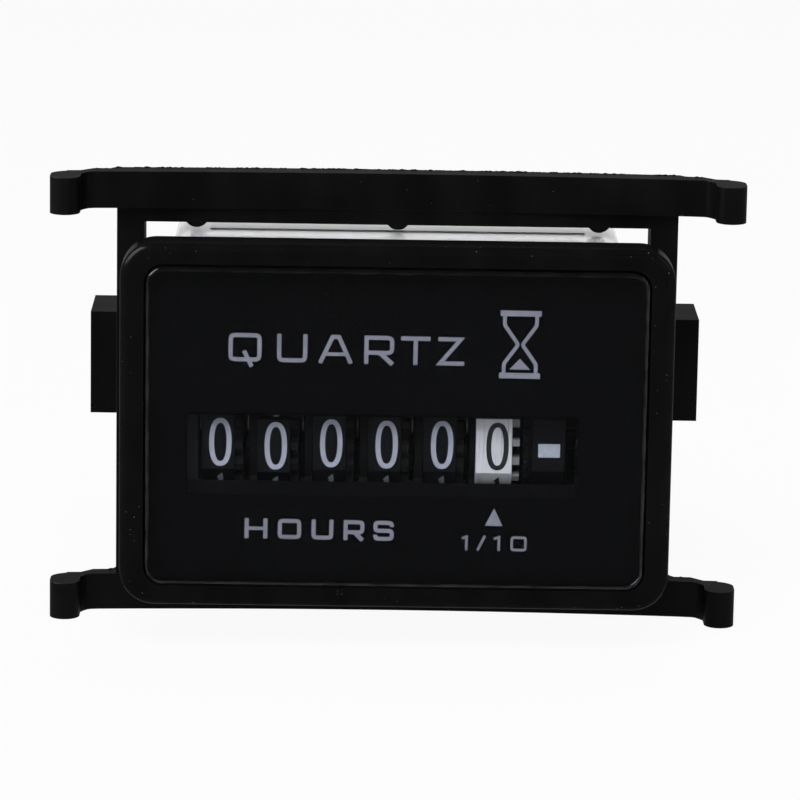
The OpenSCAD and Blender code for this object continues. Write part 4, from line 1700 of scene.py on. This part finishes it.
@dataclass
class Studio:
    """Pale floor, soft lamps, and the camera at the photograph's angle."""

    floor_z: float = -22.52
    floor_half: float = 3000.0
    floor_grey: float = 0.5
    floor_glow: float = 0.94
    target: Colour = (0.389, 0.0, 2.045)
    azimuth: float = -0.577
    elevation: float = 12.641
    roll: float = 0.953
    distance: float = 465.66
    focal: float = 213.4
    ambient: float = 0.16
    horizon: float = 1.0
    lamps: tuple[tuple[str, Colour, float, float], ...] = (
        ("key_softbox", (-85.0, -385.0, 515.0), 400.0, 5.3),
        ("back_softbox", (80.0, 260.0, 470.0), 320.0, 1.0),
    )
    glints: tuple[tuple[str, Colour, float, float], ...] = (
        ("left_card", (-343.0, -73.0, 282.0), 340.0, 8.0),
        ("right_card", (360.0, -72.0, 261.0), 220.0, 0.3),
    )

    def build(self) -> None:
        """Makes the floor, lamps, world and camera."""
        self._floor()
        self._world()
        for lamp in self.lamps:
            self._lamp(*lamp).visible_glossy = False
        for card in self.glints:
            self._lamp(*card).visible_diffuse = False
        self._camera()

    def _seen(self, paint: Painter) -> Signal:
        """One for rays that show the background: from the camera, in gloss and through glass.

        Args:
            paint: painter of the floor or the world.

        Returns:
            The mask of those rays.
        """
        kinds = ("Camera", "Glossy", "Transmission")
        rays = [paint.add("ShaderNodeLightPath", out=f"Is {kind} Ray") for kind in kinds]
        return (rays[0] + rays[1] + rays[2]) > 0.5

    def _floor(self) -> None:
        """A wide pale floor that keeps the object's shadow."""
        bm = bmesh.new()
        bmesh.ops.create_grid(bm, x_segments=8, y_segments=8, size=self.floor_half * MM)
        bmesh.ops.translate(bm, vec=(0.0, 0.0, self.floor_z * MM), verts=bm.verts)
        mesh = bpy.data.meshes.new("floor")
        bm.to_mesh(mesh)
        bm.free()
        made = bpy.data.objects.new("floor", mesh)
        bpy.context.scene.collection.objects.link(made)
        material, paint = new_material("pale_floor")
        matt = paint.add("ShaderNodeBsdfDiffuse", inputs={"Color": (self.floor_grey,) * 3})
        glow = paint.add("ShaderNodeEmission", inputs={"Color": (1.0, 1.0, 1.0), "Strength": 1.0})
        share = self._seen(paint) * self.floor_glow
        paint.show(paint.add("ShaderNodeMixShader", inputs={0: share, 1: matt, 2: glow}))
        mesh.materials.append(material)

    def _world(self) -> None:
        """A dim sky for light, with a pale horizon in gloss and for the camera."""
        world = bpy.data.worlds.new("studio")
        bpy.context.scene.world = world
        world.use_nodes = True
        paint = Painter(world.node_tree)
        way = paint.add("ShaderNodeTexCoord", out="Generated")
        height = paint.add("ShaderNodeSeparateXYZ", inputs={0: way}, out="Z")
        sky, pale = (
            paint.add("ShaderNodeBackground", inputs={"Color": (1.0, 1.0, 1.0), "Strength": strength})
            for strength in (self.ambient, self.horizon)
        )
        share = self._seen(paint) * (1.0 - height.ramp(0.27, 0.5))
        view = paint.add("ShaderNodeMixShader", inputs={0: share, 1: sky, 2: pale})
        paint.show(view, "ShaderNodeOutputWorld")

    def _lamp(self, name: str, place: Colour, size: float, power: float) -> bpy.types.Object:
        """One soft lamp that points at the object.

        Args:
            name: its name.
            place: where it stands.
            size: length of its sides.
            power: its power in watts.

        Returns:
            The lamp.
        """
        data = bpy.data.lights.new(name, "AREA")
        data.size = size * MM
        data.energy = power
        lamp = bpy.data.objects.new(name, data)
        lamp.location = Vector(place) * MM
        lamp.rotation_mode = "QUATERNION"
        lamp.rotation_quaternion = (-Vector(place)).to_track_quat("-Z", "Y")
        bpy.context.scene.collection.objects.link(lamp)
        return lamp

    def _camera(self) -> None:
        """The camera, turned slightly about its own axis as the photograph is."""
        a, e, t = (math.radians(v) for v in (self.azimuth, self.elevation, self.roll))
        back = Vector((math.sin(a) * math.cos(e), -math.cos(a) * math.cos(e), math.sin(e)))
        right = Vector((math.cos(a), math.sin(a), 0.0))
        up = back.cross(right)
        across = right * math.cos(t) + up * math.sin(t)
        above = up * math.cos(t) - right * math.sin(t)
        data = bpy.data.cameras.new("camera")
        data.lens = self.focal
        data.sensor_width = 36.0
        data.clip_start, data.clip_end = 0.01, 20.0
        camera = bpy.data.objects.new("camera", data)
        spot = (Vector(self.target) + back * self.distance) * MM
        camera.matrix_world = Matrix((across, above, back)).transposed().to_4x4()
        camera.location = spot
        bpy.context.scene.collection.objects.link(camera)
        bpy.context.scene.camera = camera


def main() -> None:
    """Builds the pieces in order, then the studio."""
    logging.basicConfig(level=logging.INFO, format="%(name)s: %(message)s")
    bpy.context.scene.view_settings.view_transform = "Standard"
    Bezel().build()
    Lens().build()
    Face().build()
    wheels = ("ten_thousands", "thousands", "hundreds", "tens", "units", "tenths")
    turns = (-1.0, -3.2, -0.9, -1.3, -1.0, -1.5)
    for place, (name, turn) in enumerate(zip(wheels, turns)):
        white = name == "tenths"
        NumberWheel(
            name,
            place,
            turn,
            finish=Finish.WHITE_DRUM if white else Finish.BLACK_DRUM,
            ink=Finish.DARK_NUMERAL if white else Finish.NUMERAL,
        ).build()
    RunWheel().build()
    Casing().build()
    Clip().build()
    Works().dress()
    Studio().build()


if __name__ == "__main__":
    main()
